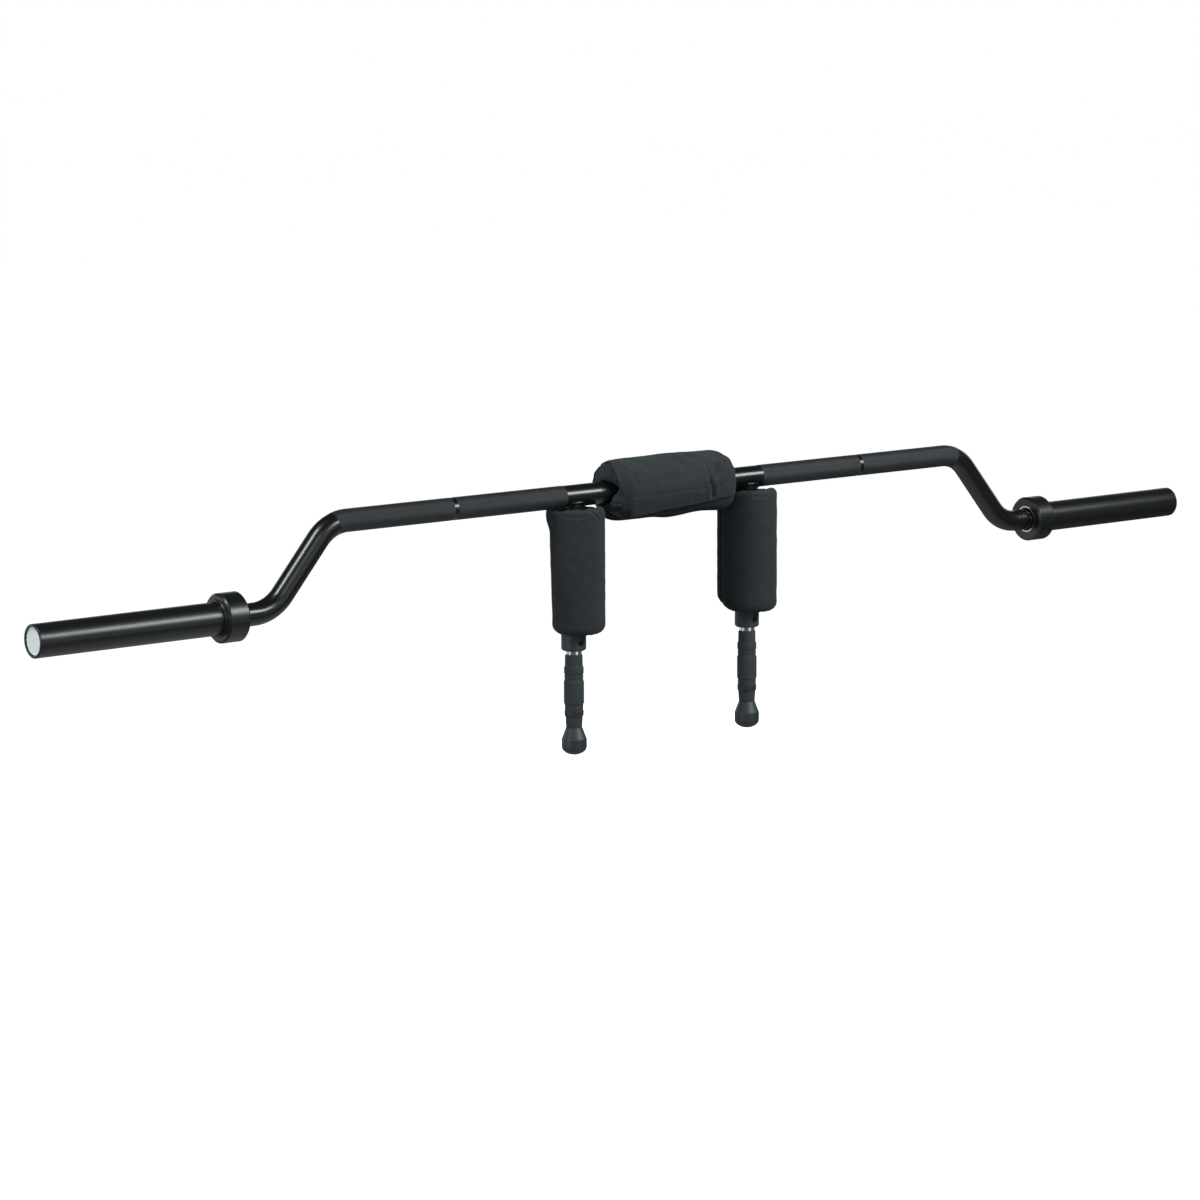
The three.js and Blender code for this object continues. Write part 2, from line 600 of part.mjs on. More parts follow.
// Shoulder pads, hung round the arms. Across, u points to the bar's middle and v to the back.
function shoulderPad(side, direction) {
  const [long, short] = [(PAD_WIDTH + PAD_SWELL) / 2, PAD_WIDTH / 2];
  const middle = [PAD_INWARD, -PAD_FORWARD];
  const skin = (angle, inset) => {
    const [along, across] = [long * Math.cos(angle), short * Math.sin(angle)];
    const [c, s] = [Math.cos(PAD_SWELL_ANGLE), Math.sin(PAD_SWELL_ANGLE)];
    const point = [middle[0] + along * c - across * s, middle[1] + along * s + across * c];
    return towards(point, middle, inset);
  };
  const innermost = boreCorner(armRadius + SEAT_GAP, PAD_SIDES);
  const bore = (angle, radius) => {
    const r = Math.max(radius, innermost);
    return [r * Math.cos(angle + PAD_SWELL_ANGLE), r * Math.sin(angle + PAD_SWELL_ANGLE)];
  };
  const place = ([u, v], station) => new THREE.Vector3(direction * (ARM_AT - u), v, -PAD_TOP - station);
  const pad = {
    length: PAD_LENGTH, corner: PAD_CORNER, crown: PAD_CROWN, dish: HUB_INTO_PAD + SEAT_GAP,
    dishRadius: hubRadius + PAD_DISH_MARGIN, skin, bore, place,
  };
  add(side + "_pad_foam", skinned(foamRings(pad), false), "foam");
  add(side + "_pad_cover", skinned(coverRings(pad), false), "fabric");

  // The closure lies where the cover overlaps, at the back.
  const length = PAD_LENGTH - 2 * PAD_CLOSURE_MARGIN;
  const sheet = (width, lift, thickness) => {
    const half = width / 2 / long;
    const shape = wrapShape(skin, -half, half, lift, thickness);
    const body = new THREE.ExtrudeGeometry(shape, { depth: length, bevelEnabled: false });
    body.translate(0, 0, -PAD_TOP - PAD_CLOSURE_MARGIN - length);
    if (direction > 0) body.scale(-1, 1, 1);
    return facingOut(mergeVertices(body.deleteAttribute("normal").deleteAttribute("uv")))
      .translate(direction * ARM_AT, 0, 0);
  };
  const flapLift = SEAT_GAP + STRIP_THICKNESS + SEAT_GAP;
  add(side + "_pad_hook_strip", sheet(PAD_STRIP_WIDTH, SEAT_GAP, STRIP_THICKNESS), "hookTape");
  add(side + "_pad_flap", sheet(PAD_FLAP_WIDTH, flapLift, FLAP_THICKNESS), "fabric");
}

// Neck pad, round the bar. Across it, the first coordinate points to the front and the second up.
function neckPad() {
  const power = 2 / NECK_SQUARENESS;
  const squared = (value) => Math.sign(value) * Math.abs(value) ** power;
  const middle = [0, 0];
  const skin = (angle, inset) => {
    const point = [neckRadius * squared(Math.cos(angle)), neckRadius * squared(Math.sin(angle))];
    return towards(point, middle, inset);
  };
  const innermost = boreCorner(barRadius + SEAT_GAP, PAD_SIDES);
  const bore = (angle, radius) => {
    const r = Math.max(radius, innermost);
    return [r * Math.cos(angle), r * Math.sin(angle)];
  };
  const start = NECK_SHIFT - NECK_LENGTH / 2;
  const place = ([front, up], station) => new THREE.Vector3(start + station, -front, up);
  const pad = {
    length: NECK_LENGTH, corner: NECK_CORNER, crown: NECK_CROWN, dish: NECK_DISH,
    dishRadius: innermost, skin, bore, place,
  };
  add("neck_pad_foam", skinned(foamRings(pad), false), "foam");
  add("neck_pad_cover", skinned(coverRings(pad), false), "fabric");

  const length = NECK_LENGTH - 2 * NECK_FLAP_MARGIN;
  const sheet = (from, to, lift, thickness) => {
    const shape = wrapShape(skin, from, to, lift, thickness);
    const body = new THREE.ExtrudeGeometry(shape, { depth: length, bevelEnabled: false });
    // The outline's front and up become -Y and Z, and its depth becomes X.
    const front = new THREE.Vector3(0, -1, 0);
    const up = new THREE.Vector3(0, 0, 1);
    const along = new THREE.Vector3(1, 0, 0);
    body.applyMatrix4(new THREE.Matrix4().makeBasis(front, up, along));
    body.translate(start + NECK_FLAP_MARGIN, 0, 0);
    return facingOut(mergeVertices(body.deleteAttribute("normal").deleteAttribute("uv")));
  };
  const flapLift = SEAT_GAP + STRIP_THICKNESS + SEAT_GAP;
  const stripEnd = NECK_FLAP_END + NECK_STRIP_WIDTH / neckRadius;
  add("neck_pad_hook_strip", sheet(NECK_FLAP_END, stripEnd, SEAT_GAP, STRIP_THICKNESS), "hookTape");
  add("neck_pad_flap", sheet(NECK_FLAP_END, NECK_FLAP_START, flapLift, FLAP_THICKNESS), "fabric");
}

bar();
for (const [side, direction] of [["left", -1], ["right", 1]]) {
  sleeveAssembly(side, direction);
  armAssembly(side, direction);
  shoulderPad(side, direction);
}
neckPad();

export default root;
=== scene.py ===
# %% [markdown]
# # A safety squat bar
# A lifter carries this barbell on the shoulders. Its steel tube is bent down at both ends, so the plates hang
# low and in front. Two padded arms with handles hang from the middle, and a soft roll lies on the neck.
# The sizes and places are those of the CAD frame. Here each visible piece is modelled again with smooth
# surfaces, real edges and its own finish, and it rides on the body it belongs to.

# %% Load the frame
import math

import bmesh
import bpy
import numpy as np
from mathutils import Matrix, Vector, noise
from mathutils.bvhtree import BVHTree


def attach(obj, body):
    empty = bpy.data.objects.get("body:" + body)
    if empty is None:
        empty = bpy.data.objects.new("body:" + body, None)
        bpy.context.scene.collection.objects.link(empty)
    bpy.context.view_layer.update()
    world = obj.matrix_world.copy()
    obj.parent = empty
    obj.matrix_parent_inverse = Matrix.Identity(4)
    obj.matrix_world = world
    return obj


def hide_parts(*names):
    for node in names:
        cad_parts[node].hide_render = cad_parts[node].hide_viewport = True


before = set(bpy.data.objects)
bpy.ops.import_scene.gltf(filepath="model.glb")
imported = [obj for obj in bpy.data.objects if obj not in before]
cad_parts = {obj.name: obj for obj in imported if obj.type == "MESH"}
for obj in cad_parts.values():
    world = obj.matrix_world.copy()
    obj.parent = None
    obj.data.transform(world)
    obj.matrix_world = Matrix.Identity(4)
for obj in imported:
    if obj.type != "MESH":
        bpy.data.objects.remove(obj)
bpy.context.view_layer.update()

# %% [markdown]
# ## Camera
# The photograph was taken from the left and a little above, with a long lens, so the near end of the bar
# looks only slightly bigger than the far end. The place and the angles come from lining up the outlines.

# %% Camera
CAMERA_AT, LENS = (-3.880, -4.887, 0.831), 118.6
YAW, PITCH, ROLL = math.radians(37.543), math.radians(9.23), math.radians(-0.31)
forward = Vector((math.sin(YAW) * math.cos(PITCH), math.cos(YAW) * math.cos(PITCH), -math.sin(PITCH)))
level_right = Vector((math.cos(YAW), -math.sin(YAW), 0))
level_up = level_right.cross(forward)
right = math.cos(ROLL) * level_right + math.sin(ROLL) * level_up
up = math.cos(ROLL) * level_up - math.sin(ROLL) * level_right
turn = Matrix((right, up, -forward)).transposed()

bpy.ops.object.select_all(action="DESELECT")
bpy.ops.object.camera_add(location=CAMERA_AT, rotation=turn.to_euler())
camera = bpy.context.object
camera.name = "camera"
camera.data.sensor_width = 36
camera.data.lens = LENS
bpy.context.scene.camera = camera
print("lens", camera.data.lens, "mm")

# %% [markdown]
# ## Studio
# Black paint shows mostly what it reflects. In the photograph each tube has one soft band of light at
# mid-height, a dark band under it, and a pale glow along its belly. So the studio has a long soft lamp in
# front at about 35 degrees, a dim room in front and above, a white wall behind, and a white floor well below.
# A lamp behind, which the paint doesn't mirror, shows the fabric on the back.
# Camera rays see a plain white world, and the floor keeps a soft shadow.

# %% Node helpers
def add_node(tree, kind, values=None, **settings):
    """A shader node with its settings. values sets or links its inputs, by name or by number."""
    node = tree.nodes.new("ShaderNode" + kind)
    for name, setting in settings.items():
        setattr(node, name, setting)
    for socket, value in (values or {}).items():
        if isinstance(value, bpy.types.NodeSocket):
            tree.links.new(value, node.inputs[socket])
        else:
            node.inputs[socket].default_value = value
    return node


def map_range(tree, value, low, high, from_low, from_high):
    """A smooth Map Range node from low..high to other values."""
    values = {"Value": value, "From Min": low, "From Max": high, "To Min": from_low, "To Max": from_high}
    return add_node(tree, "MapRange", values, interpolation_type="SMOOTHSTEP").outputs[0]


def math_node(tree, operation, *values):
    """A Math node fed by sockets or numbers."""
    return add_node(tree, "Math", dict(enumerate(values)), operation=operation).outputs[0]


def vector_node(tree, operation, *values):
    """A Vector Math node, which returns its number or its vector."""
    node = add_node(tree, "VectorMath", dict(enumerate(values)), operation=operation)
    return node.outputs["Value" if operation in ("DOT_PRODUCT", "LENGTH") else "Vector"]


def mix_node(tree, factor, first, second):
    """A Mix node between two colours. Each is a socket, or red, green and blue."""
    ends = [end if isinstance(end, bpy.types.NodeSocket) else (*end, 1) for end in (first, second)]
    values = {"A": ends[0], "B": ends[1], "Factor": factor}
    return add_node(tree, "Mix", values, data_type="RGBA").outputs["Result"]


def new_group(name, inputs, outputs):
    """An empty node group with its inputs and outputs."""
    group = bpy.data.node_groups.new(name, "ShaderNodeTree")
    for title, kind, value in inputs:
        socket = group.interface.new_socket(name=title, in_out="INPUT", socket_type=kind)
        if value is not None:
            socket.default_value = value
    for title in outputs:
        group.interface.new_socket(name=title, in_out="OUTPUT", socket_type="NodeSocketFloat")
    return group, group.nodes.new("NodeGroupInput").outputs, group.nodes.new("NodeGroupOutput").inputs

# %% Side panels
# Two tall soft panels, at degrees from the viewer, draw the two pale streaks down each upright part.
PANEL_BEARINGS = (-62, 46)
panels, given, made = new_group("side_panels", [("Vector", "NodeSocketVector", None)], ["Light"])
level_way = vector_node(panels, "NORMALIZE", vector_node(panels, "MULTIPLY", given["Vector"], (1, 1, 0)))
near_panel = []
for away in PANEL_BEARINGS:
    bearing = math.atan2(-math.cos(YAW), -math.sin(YAW)) + math.radians(away)
    middle = (math.cos(bearing), math.sin(bearing), 0)
    near_panel.append(vector_node(panels, "DOT_PRODUCT", level_way, middle))
nearest = math_node(panels, "MAXIMUM", *near_panel)
panels.links.new(map_range(panels, nearest, 0.94, 0.97, 0, 1), made["Light"])

# %% World
bpy.context.scene.view_settings.view_transform = "Standard"
world = bpy.data.worlds.new("studio_world")
bpy.context.scene.world = world
world.use_nodes = True
tree = world.node_tree
tree.nodes.clear()

# Mirrors and glass see the white wall behind the bar, the panels and the dim room. Matt surfaces see an
# even grey.
direction = add_node(tree, "TexCoord").outputs["Generated"]
parts = add_node(tree, "SeparateXYZ", {0: direction}).outputs
low = map_range(tree, parts["Z"], 0.15, 0.45, 1, 0)
back = map_range(tree, parts["Y"], -0.1, 0.5, 0, 1)
tall = add_node(tree, "Group", {"Vector": direction}, node_tree=panels).outputs["Light"]
panel = math_node(tree, "MULTIPLY", tall, map_range(tree, parts["Z"], 0.1, 0.3, 0.7, 0))
bright = math_node(tree, "MAXIMUM", math_node(tree, "MULTIPLY", low, back), panel)
mirrored = mix_node(tree, bright, (0.032, 0.036, 0.040), (0.94, 0.98, 1))
rays = add_node(tree, "LightPath").outputs
shiny = math_node(tree, "MAXIMUM", rays["Is Glossy Ray"], rays["Is Transmission Ray"])
room = add_node(tree, "Background", {"Color": mix_node(tree, shiny, (0.115, 0.135, 0.148), mirrored)})
seen = add_node(tree, "Background", {"Color": (1, 1, 1, 1)})
pick = add_node(tree, "MixShader", {"Fac": rays["Is Camera Ray"], 1: room.outputs[0], 2: seen.outputs[0]})
add_node(tree, "OutputWorld", {"Surface": pick.outputs[0]})

# %% Lamps
def soft_lamp(name, place, target, width, height, power):
    """Adds an area lamp that faces a target."""
    bpy.ops.object.select_all(action="DESELECT")
    aim = (Vector(target) - Vector(place)).to_track_quat("-Z", "Y")
    bpy.ops.object.light_add(type="AREA", location=place, rotation=aim.to_euler())
    lamp = bpy.context.object
    lamp.name = name
    lamp.data.shape = "RECTANGLE"
    lamp.data.size, lamp.data.size_y, lamp.data.energy = width, height, power
    lamp.data.color = (0.92, 0.98, 1.0)
    return lamp


soft_lamp("key_strip", (1.17, -1.98, 1.34), (0, 0, 0), 2.44, 0.72, 74)
soft_lamp("left_strip", (-2.07, -0.05, 1.98), (-0.68, 0, -0.06), 0.66, 0.9, 30)
soft_lamp("front_fill", (-2.2, -3.6, 1.6), (0, 0, -0.1), 2.2, 2.2, 27)
soft_lamp("left_fill", (-4.4, -0.28, 0.3), (-0.8, 0, -0.1), 0.8, 1.0, 46)
back_fill = soft_lamp("back_fill", (1.8, 3.8, -0.3), (0, 0, -0.1), 2.4, 1.2, 60)
back_fill.visible_glossy = False

# %% Floor
FLOOR_AT = -1.15
bpy.ops.object.select_all(action="DESELECT")
bpy.ops.mesh.primitive_plane_add(size=60, location=(0, 0, FLOOR_AT))
floor = bpy.context.object
floor.name = "floor"
paper = bpy.data.materials.new("floor_paper")
paper.use_nodes = True
tree = paper.node_tree
tree.nodes.clear()
matt = add_node(tree, "BsdfDiffuse", {"Color": (0.8, 0.8, 0.8, 1)})
white = add_node(tree, "Emission", {"Strength": 0.9})
lit = add_node(tree, "AddShader", {0: matt.outputs[0], 1: white.outputs[0]})

# The camera sees lit white paper everywhere. Mirrors see it dimmer away from under the bar, with the two
# panels far out and the white wall's end of it behind, and matt surfaces get only a little light back.
spot = add_node(tree, "TexCoord").outputs["Object"]
distance = vector_node(tree, "LENGTH", spot)
tall = add_node(tree, "Group", {"Vector": spot}, node_tree=panels).outputs["Light"]
far_panel = math_node(tree, "MULTIPLY", tall, map_range(tree, distance, 2.8, 4.2, 0, 0.85))
near_tone = map_range(tree, distance, 0.2, 2.6, 0.5, 0.015)
far_tone = math_node(tree, "ADD", near_tone, map_range(tree, distance, 3.0, 4.5, 0, 0.1))
behind = map_range(tree, add_node(tree, "SeparateXYZ", {0: spot}).outputs["Y"], 2.5, 5.0, 0, 0.85)
mirror_tone = math_node(tree, "MAXIMUM", math_node(tree, "MAXIMUM", far_tone, far_panel), behind)
rays = add_node(tree, "LightPath").outputs
shiny = math_node(tree, "MAXIMUM", rays["Is Glossy Ray"], rays["Is Transmission Ray"])
strength = math_node(tree, "MAXIMUM", math_node(tree, "MULTIPLY", shiny, mirror_tone), 0.07)
dim = add_node(tree, "Emission", {"Color": (0.90, 0.97, 1, 1), "Strength": strength})
who = add_node(tree, "MixShader", {"Fac": rays["Is Camera Ray"], 1: dim.outputs[0], 2: lit.outputs[0]})
add_node(tree, "OutputMaterial", {"Surface": who.outputs[0]})
floor.data.materials.append(paper)
print("floor at", FLOOR_AT)

# %% [markdown]
# ## Tools of the trade
# Nearly all the steel, rubber and plastic here is round. Each such piece starts as a circle, which is
# extruded and scaled ring by ring along its axis, as on a lathe. A Bevel modifier then rounds the edges
# that catch light.

# %% Helpers for round pieces
MM = 0.001
EAST, WEST, DOWN, FRONT = Vector((1, 0, 0)), Vector((-1, 0, 0)), Vector((0, 0, -1)), Vector((0, -1, 0))


def deselect():
    """Leaves edit mode with nothing selected."""
    if bpy.context.object and bpy.context.object.mode != "OBJECT":
        bpy.ops.object.mode_set(mode="OBJECT")
    bpy.ops.object.select_all(action="DESELECT")


def alone(piece):
    """Selects one object and nothing else."""
    deselect()
    piece.select_set(True)
    bpy.context.view_layer.objects.active = piece


def edit_all(piece):
    """Opens a piece in edit mode with all of it selected."""
    alone(piece)
    bpy.ops.object.mode_set(mode="EDIT")
    bpy.ops.mesh.select_all(action="SELECT")


def apply(piece, kind, **settings):
    """Adds a modifier with its settings and applies it at once."""
    alone(piece)
    modifier = piece.modifiers.new(kind.lower(), kind)
    for name, setting in settings.items():
        setattr(modifier, name, setting)
    bpy.ops.object.modifier_apply(modifier=modifier.name)


def start_ring(name, radius, centre, axis, sides):
    """Adds a circle across an axis and leaves it selected in edit mode."""
    deselect()
    tilt = axis.to_track_quat("Z", "Y").to_euler()
    bpy.ops.mesh.primitive_circle_add(vertices=sides, radius=radius, location=centre, rotation=tilt)
    piece = bpy.context.object
    piece.name = piece.data.name = name
    bpy.ops.object.transform_apply(location=True, rotation=True, scale=True)
    edit_all(piece)
    return piece


def draw_out(step, share=1.0, centre=None):
    """Extrudes the selected ring by a step and scales it about its new centre."""
    bpy.ops.mesh.extrude_region_move(TRANSFORM_OT_translate={"value": step})
    if share != 1:
        bpy.ops.transform.resize(value=(share, share, share), center_override=centre)


def step_in(share, centre):
    """Extrudes the selected ring on the spot to a share of its radius, for a square step."""
    draw_out(Vector((0, 0, 0)), share, centre)


def shade(piece):
    """Smooth shading up to 32 degrees, led by the large faces, so rounded edges don't bend the light."""
    alone(piece)
    bpy.ops.object.shade_smooth_by_angle(angle=math.radians(32))
    apply(piece, "WEIGHTED_NORMAL", keep_sharp=True)


def faces_out(piece):
    """Turns all faces of a closed piece outwards."""
    edit_all(piece)
    bpy.ops.mesh.normals_make_consistent(inside=False)
    bpy.ops.object.mode_set(mode="OBJECT")


def round_edges(piece, width, angle):
    """Bevels the edges sharper than an angle in degrees."""
    apply(piece, "BEVEL", width=width, segments=2, limit_method="ANGLE", angle_limit=math.radians(angle))


def finish_mesh(piece, rounding=0.0):
    """Turns the faces out, rounds the hard edges and shades the rest smooth."""
    faces_out(piece)
    if rounding:
        round_edges(piece, rounding, 25)
    shade(piece)
    return piece


def turned(name, outline, origin, axis, sides, closed=False, rounding=0.3):
    """A turned piece from (radius, station) pairs and an edge rounding, in millimetres.

    Open ends get flat caps. With closed, the outline is a loop, as for a piece with a bore.
    """
    radius, station = outline[0]
    piece = start_ring(name, radius * MM, origin + axis * station * MM, axis, sides)
    for next_radius, next_station in outline[1:]:
        centre = origin + axis * next_station * MM
        draw_out(axis * (next_station - station) * MM, next_radius / radius, centre)
        radius, station = next_radius, next_station
    if closed:
        bpy.ops.mesh.select_non_manifold(extend=False, use_wire=False, use_boundary=True,
                                         use_multi_face=False, use_non_contiguous=False, use_verts=False)
        bpy.ops.mesh.bridge_edge_loops()
    else:
        bpy.ops.mesh.select_all(action="SELECT")
        bpy.ops.mesh.fill_holes(sides=0)
    return finish_mesh(piece, rounding * MM)


def other_side(piece):
    """A mirrored copy of a left piece for the right side, with its own mesh."""
    alone(piece)
    bpy.ops.object.duplicate(linked=False)
    copy = bpy.context.object
    copy.name = copy.data.name = piece.name.replace("left", "right")
    if copy.data.has_custom_normals:
        bpy.ops.mesh.customdata_custom_splitnormals_clear()
    bpy.ops.transform.resize(value=(-1, 1, 1), center_override=(0, 0, 0))
    bpy.ops.object.transform_apply(location=True, rotation=True, scale=True)
    return finish_mesh(copy)


def cut_away(piece, cutter):
    """Subtracts one object from another and removes the cutter."""
    apply(piece, "BOOLEAN", operation="DIFFERENCE", object=cutter, solver="EXACT")
    bpy.data.objects.remove(cutter)

# %% [markdown]
# ## Shared surface effects
# Paint, rubber and plastic all have a fine grain, and the fabrics a weave. Each effect is one node group with
# inputs for its size, so that every material can place it with its own values.

# %% Node groups
def noise_node(tree, vector, scale, detail, roughness):
    """A Noise Texture, which returns its factor."""
    values = {"Vector": vector, "Scale": scale, "Detail": detail, "Roughness": roughness}
    return add_node(tree, "TexNoise", values).outputs["Fac"]


grain, given, made = new_group(
    "fine_grain", [("Vector", "NodeSocketVector", None), ("Scale", "NodeSocketFloat", 900.0),
                   ("Cloudiness", "NodeSocketFloat", 14.0)], ["Height", "Tone"])
fine = noise_node(grain, given["Vector"], given["Scale"], 2.0, 0.6)
cloud = noise_node(grain, given["Vector"], given["Cloudiness"], 4.0, 0.55)
grain.links.new(fine, made["Height"])
clouded = math_node(grain, "MULTIPLY_ADD", fine, 0.35, math_node(grain, "MULTIPLY", cloud, 0.65))
grain.links.new(clouded, made["Tone"])

knurl, given, made = new_group(
    "diamond_knurl", [("Vector", "NodeSocketVector", None), ("Pitch", "NodeSocketFloat", 0.0012)],
    ["Height", "Tips"])
ways = add_node(knurl, "SeparateXYZ", {0: given["Vector"]}).outputs
slanted = [math_node(knurl, "MULTIPLY_ADD", ways["X"], way, ways["Y"]) for way in (0.62, -0.62)]
ridges = [math_node(knurl, "PINGPONG", math_node(knurl, "DIVIDE", line, given["Pitch"]), 0.5)
          for line in slanted]
peak = math_node(knurl, "MULTIPLY", math_node(knurl, "MINIMUM", *ridges), 2.0)
knurl.links.new(peak, made["Height"])
tips = math_node(knurl, "SMOOTH_MIN", math_node(knurl, "MULTIPLY", peak, peak), 0.9, 0.3)
knurl.links.new(tips, made["Tips"])

# %% Materials for the hard pieces
def principled(name, colour, roughness, **plain):
    """A material with its Principled BSDF, and the numbers that are the same all over it."""
    material = bpy.data.materials.new(name)
    material.use_nodes = True
    shader = material.node_tree.nodes["Principled BSDF"]
    shader.inputs["Base Color"].default_value = (*colour, 1)
    shader.inputs["Roughness"].default_value = roughness
    for socket, value in plain.items():
        shader.inputs[socket.replace("_", " ")].default_value = value
    return material, material.node_tree, shader


def place_group(tree, group, vector, **values):
    """Puts a group in a material, fed by a vector socket."""
    return add_node(tree, "Group", {"Vector": vector, **values}, node_tree=group)


def bump(tree, shader, height, distance, strength=1.0):
    """Feeds a height through a Bump node into the shader's normal."""
    node = add_node(tree, "Bump", {"Height": height, "Distance": distance, "Strength": strength})
    tree.links.new(node.outputs["Normal"], shader.inputs["Normal"])


def spread(tree, factor, low, high, socket):
    """Maps a mask to a range for a shader socket: numbers for roughness, colours for the base."""
    if isinstance(low, tuple):
        value = mix_node(tree, factor, low, high)
    else:
        value = math_node(tree, "MULTIPLY_ADD", factor, high - low, low)
    tree.links.new(value, socket)


def grained(name, colours, roughness, scale, depth, **plain):
    """Paint, plastic or rubber: a clouded colour and roughness over a fine grain."""
    material, tree, shader = principled(name, colours[0], roughness[0], **plain)
    place = add_node(tree, "TexCoord").outputs["Object"]
    effect = place_group(tree, grain, place, Scale=scale, Cloudiness=14.0)
    spread(tree, effect.outputs["Tone"], *colours, shader.inputs["Base Color"])
    spread(tree, effect.outputs["Tone"], *roughness, shader.inputs["Roughness"])
    bump(tree, shader, effect.outputs["Height"], depth)
    return material


gloss_black = grained("gloss_black_paint", ((0.003, 0.0033, 0.0036), (0.006, 0.0066, 0.007)),
                      (0.20, 0.32), 420, 0.000025, Specular_IOR_Level=0.65)
satin_black = grained("satin_black_paint", ((0.003, 0.0033, 0.0036), (0.007, 0.0076, 0.008)),
                      (0.28, 0.38), 420, 0.00003, Specular_IOR_Level=0.65)
hub_black = grained("hub_black_paint", ((0.030, 0.035, 0.038), (0.045, 0.051, 0.055)),
                    (0.42, 0.60), 900, 0.0001)
grip_rubber = grained("grip_rubber", ((0.024, 0.029, 0.032), (0.042, 0.049, 0.053)),
                      (0.68, 0.86), 1300, 0.0004)
band_rubber = grained("band_rubber", ((0.012, 0.0145, 0.016), (0.020, 0.0235, 0.026)),
                      (0.50, 0.66), 900, 0.0001)
knob_plastic = grained("knob_plastic", ((0.024, 0.029, 0.032), (0.036, 0.042, 0.046)),
                       (0.36, 0.50), 800, 0.00006)
bush_brown = grained("bush_composite", ((0.02, 0.018, 0.015), (0.035, 0.031, 0.026)),
                     (0.55, 0.7), 1200, 0.0001)
cap_silver = grained("cap_silver", ((0.80, 0.82, 0.83), (0.90, 0.92, 0.93)), (0.34, 0.48), 1500, 0.00004,
                     Metallic=0.15)
bright_steel = grained("bright_steel", ((0.55, 0.56, 0.57), (0.70, 0.71, 0.72)), (0.18, 0.30), 900, 0.00004,
                       Metallic=1.0)
chrome = grained("chrome", ((0.72, 0.73, 0.74), (0.80, 0.81, 0.82)), (0.06, 0.16), 600, 0.00002, Metallic=1.0)

knurled_black, tree, shader = principled("knurled_black", (0.02, 0.02, 0.02), 0.4)
unrolled = add_node(tree, "UVMap", uv_map="unrolled").outputs["UV"]
diamonds = place_group(tree, knurl, unrolled, Pitch=0.0014).outputs
uneven = place_group(tree, grain, add_node(tree, "TexCoord").outputs["Object"], Scale=380.0, Cloudiness=45.0)
worn = math_node(tree, "MULTIPLY", diamonds["Tips"], uneven.outputs["Tone"])
spread(tree, worn, (0.008, 0.0095, 0.0105), (0.060, 0.068, 0.073), shader.inputs["Base Color"])
spread(tree, uneven.outputs["Tone"], 0.42, 0.62, shader.inputs["Roughness"])
bump(tree, shader, diamonds["Height"], 0.00035, 0.8)
print("materials", len(bpy.data.materials))


def dress(piece, body, slot, *materials):
    """Gives a piece its materials and body; the slot is not used. Each face keeps its place in the list of
    materials.
    """
    indices = [face.material_index for face in piece.data.polygons]
    piece.data.materials.clear()
    for material in materials:
        piece.data.materials.append(material)
    piece.data.polygons.foreach_set("material_index", indices)
    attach(piece, body)
    return piece


def both_sides(piece, body, slot, materials, nodes):
    """Dresses a left piece and its mirrored copy. In the body's name, braces stand for the side."""
    for side, made_piece in (("left", piece), ("right", other_side(piece))):
        dress(made_piece, body.format(side), slot, *materials)
        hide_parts(*[side + "_" + node for node in nodes])

# %% [markdown]
# ## Bar
# The real bar is one steel tube, bent cold. The level middle has two knurled stretches a side with a plain
# ring mark between them, and the knurling runs a little way into the bend. A circle is extruded to each
# change of section, spun round the centre of each bend, and mirrored to the other side.

# %% Bar sizes
BAR_R = 17.5
KNURL_R = 17.7
BEND_R = 68
UPPER_BEND_AT, CAMBER_DROP, CAMBER_REACH = 635, 125, 105
CAMBER = math.atan2(CAMBER_DROP, CAMBER_REACH)
TANGENT = BEND_R * math.tan(CAMBER / 2)
BEND_START = UPPER_BEND_AT - TANGENT
SLOPE = math.hypot(CAMBER_DROP, CAMBER_REACH) - 2 * TANGENT
STUB = 26
KNURL_FROM, KNURL_PAST_BEND = 199, 22
MARK_AT, MARK_WIDTH = 410.5, 7.5
COLLAR_FACE = UPPER_BEND_AT + CAMBER_REACH + TANGENT + STUB
COLLAR_WIDTH, SEAT = 36.5, 25.5
SLEEVE_R, SLEEVE_BORE, SLEEVE_END = 25, 21, COLLAR_WIDTH + 309
print("bend", round(math.degrees(CAMBER), 2), "degrees, collar face at", round(COLLAR_FACE, 2))

# %% Bar
bar = start_ring("bar_rod", BAR_R * MM, Vector((0, 0, 0)), EAST, 96)
station = 0
stops = [(KNURL_FROM, BAR_R, KNURL_R), (MARK_AT - MARK_WIDTH / 2, KNURL_R, BAR_R),
         (MARK_AT + MARK_WIDTH / 2, BAR_R, KNURL_R), (BEND_START, KNURL_R, KNURL_R)]
for stop, before, after in stops:
    draw_out(EAST * (stop - station) * MM)
    station = stop
    if after != before:
        step_in(after / before, EAST * stop * MM)

# The first bend turns down round a centre below the tube. The knurling ends a little way into it. Without a
# window the Spin operator turns the other way, so a turn down is a negative angle here.
knurled_turn = KNURL_PAST_BEND / BEND_R
first_centre = Vector((BEND_START, 0, -BEND_R)) * MM
bpy.ops.mesh.spin(steps=8, angle=-knurled_turn, center=first_centre, axis=(0, 1, 0))
knurl_end = first_centre + Vector((math.sin(knurled_turn), 0, math.cos(knurled_turn))) * BEND_R * MM
step_in(BAR_R / KNURL_R, knurl_end)
bpy.ops.mesh.spin(steps=14, angle=knurled_turn - CAMBER, center=first_centre, axis=(0, 1, 0))
slope_way = Vector((math.cos(CAMBER), 0, -math.sin(CAMBER)))
draw_out(slope_way * SLOPE * MM)

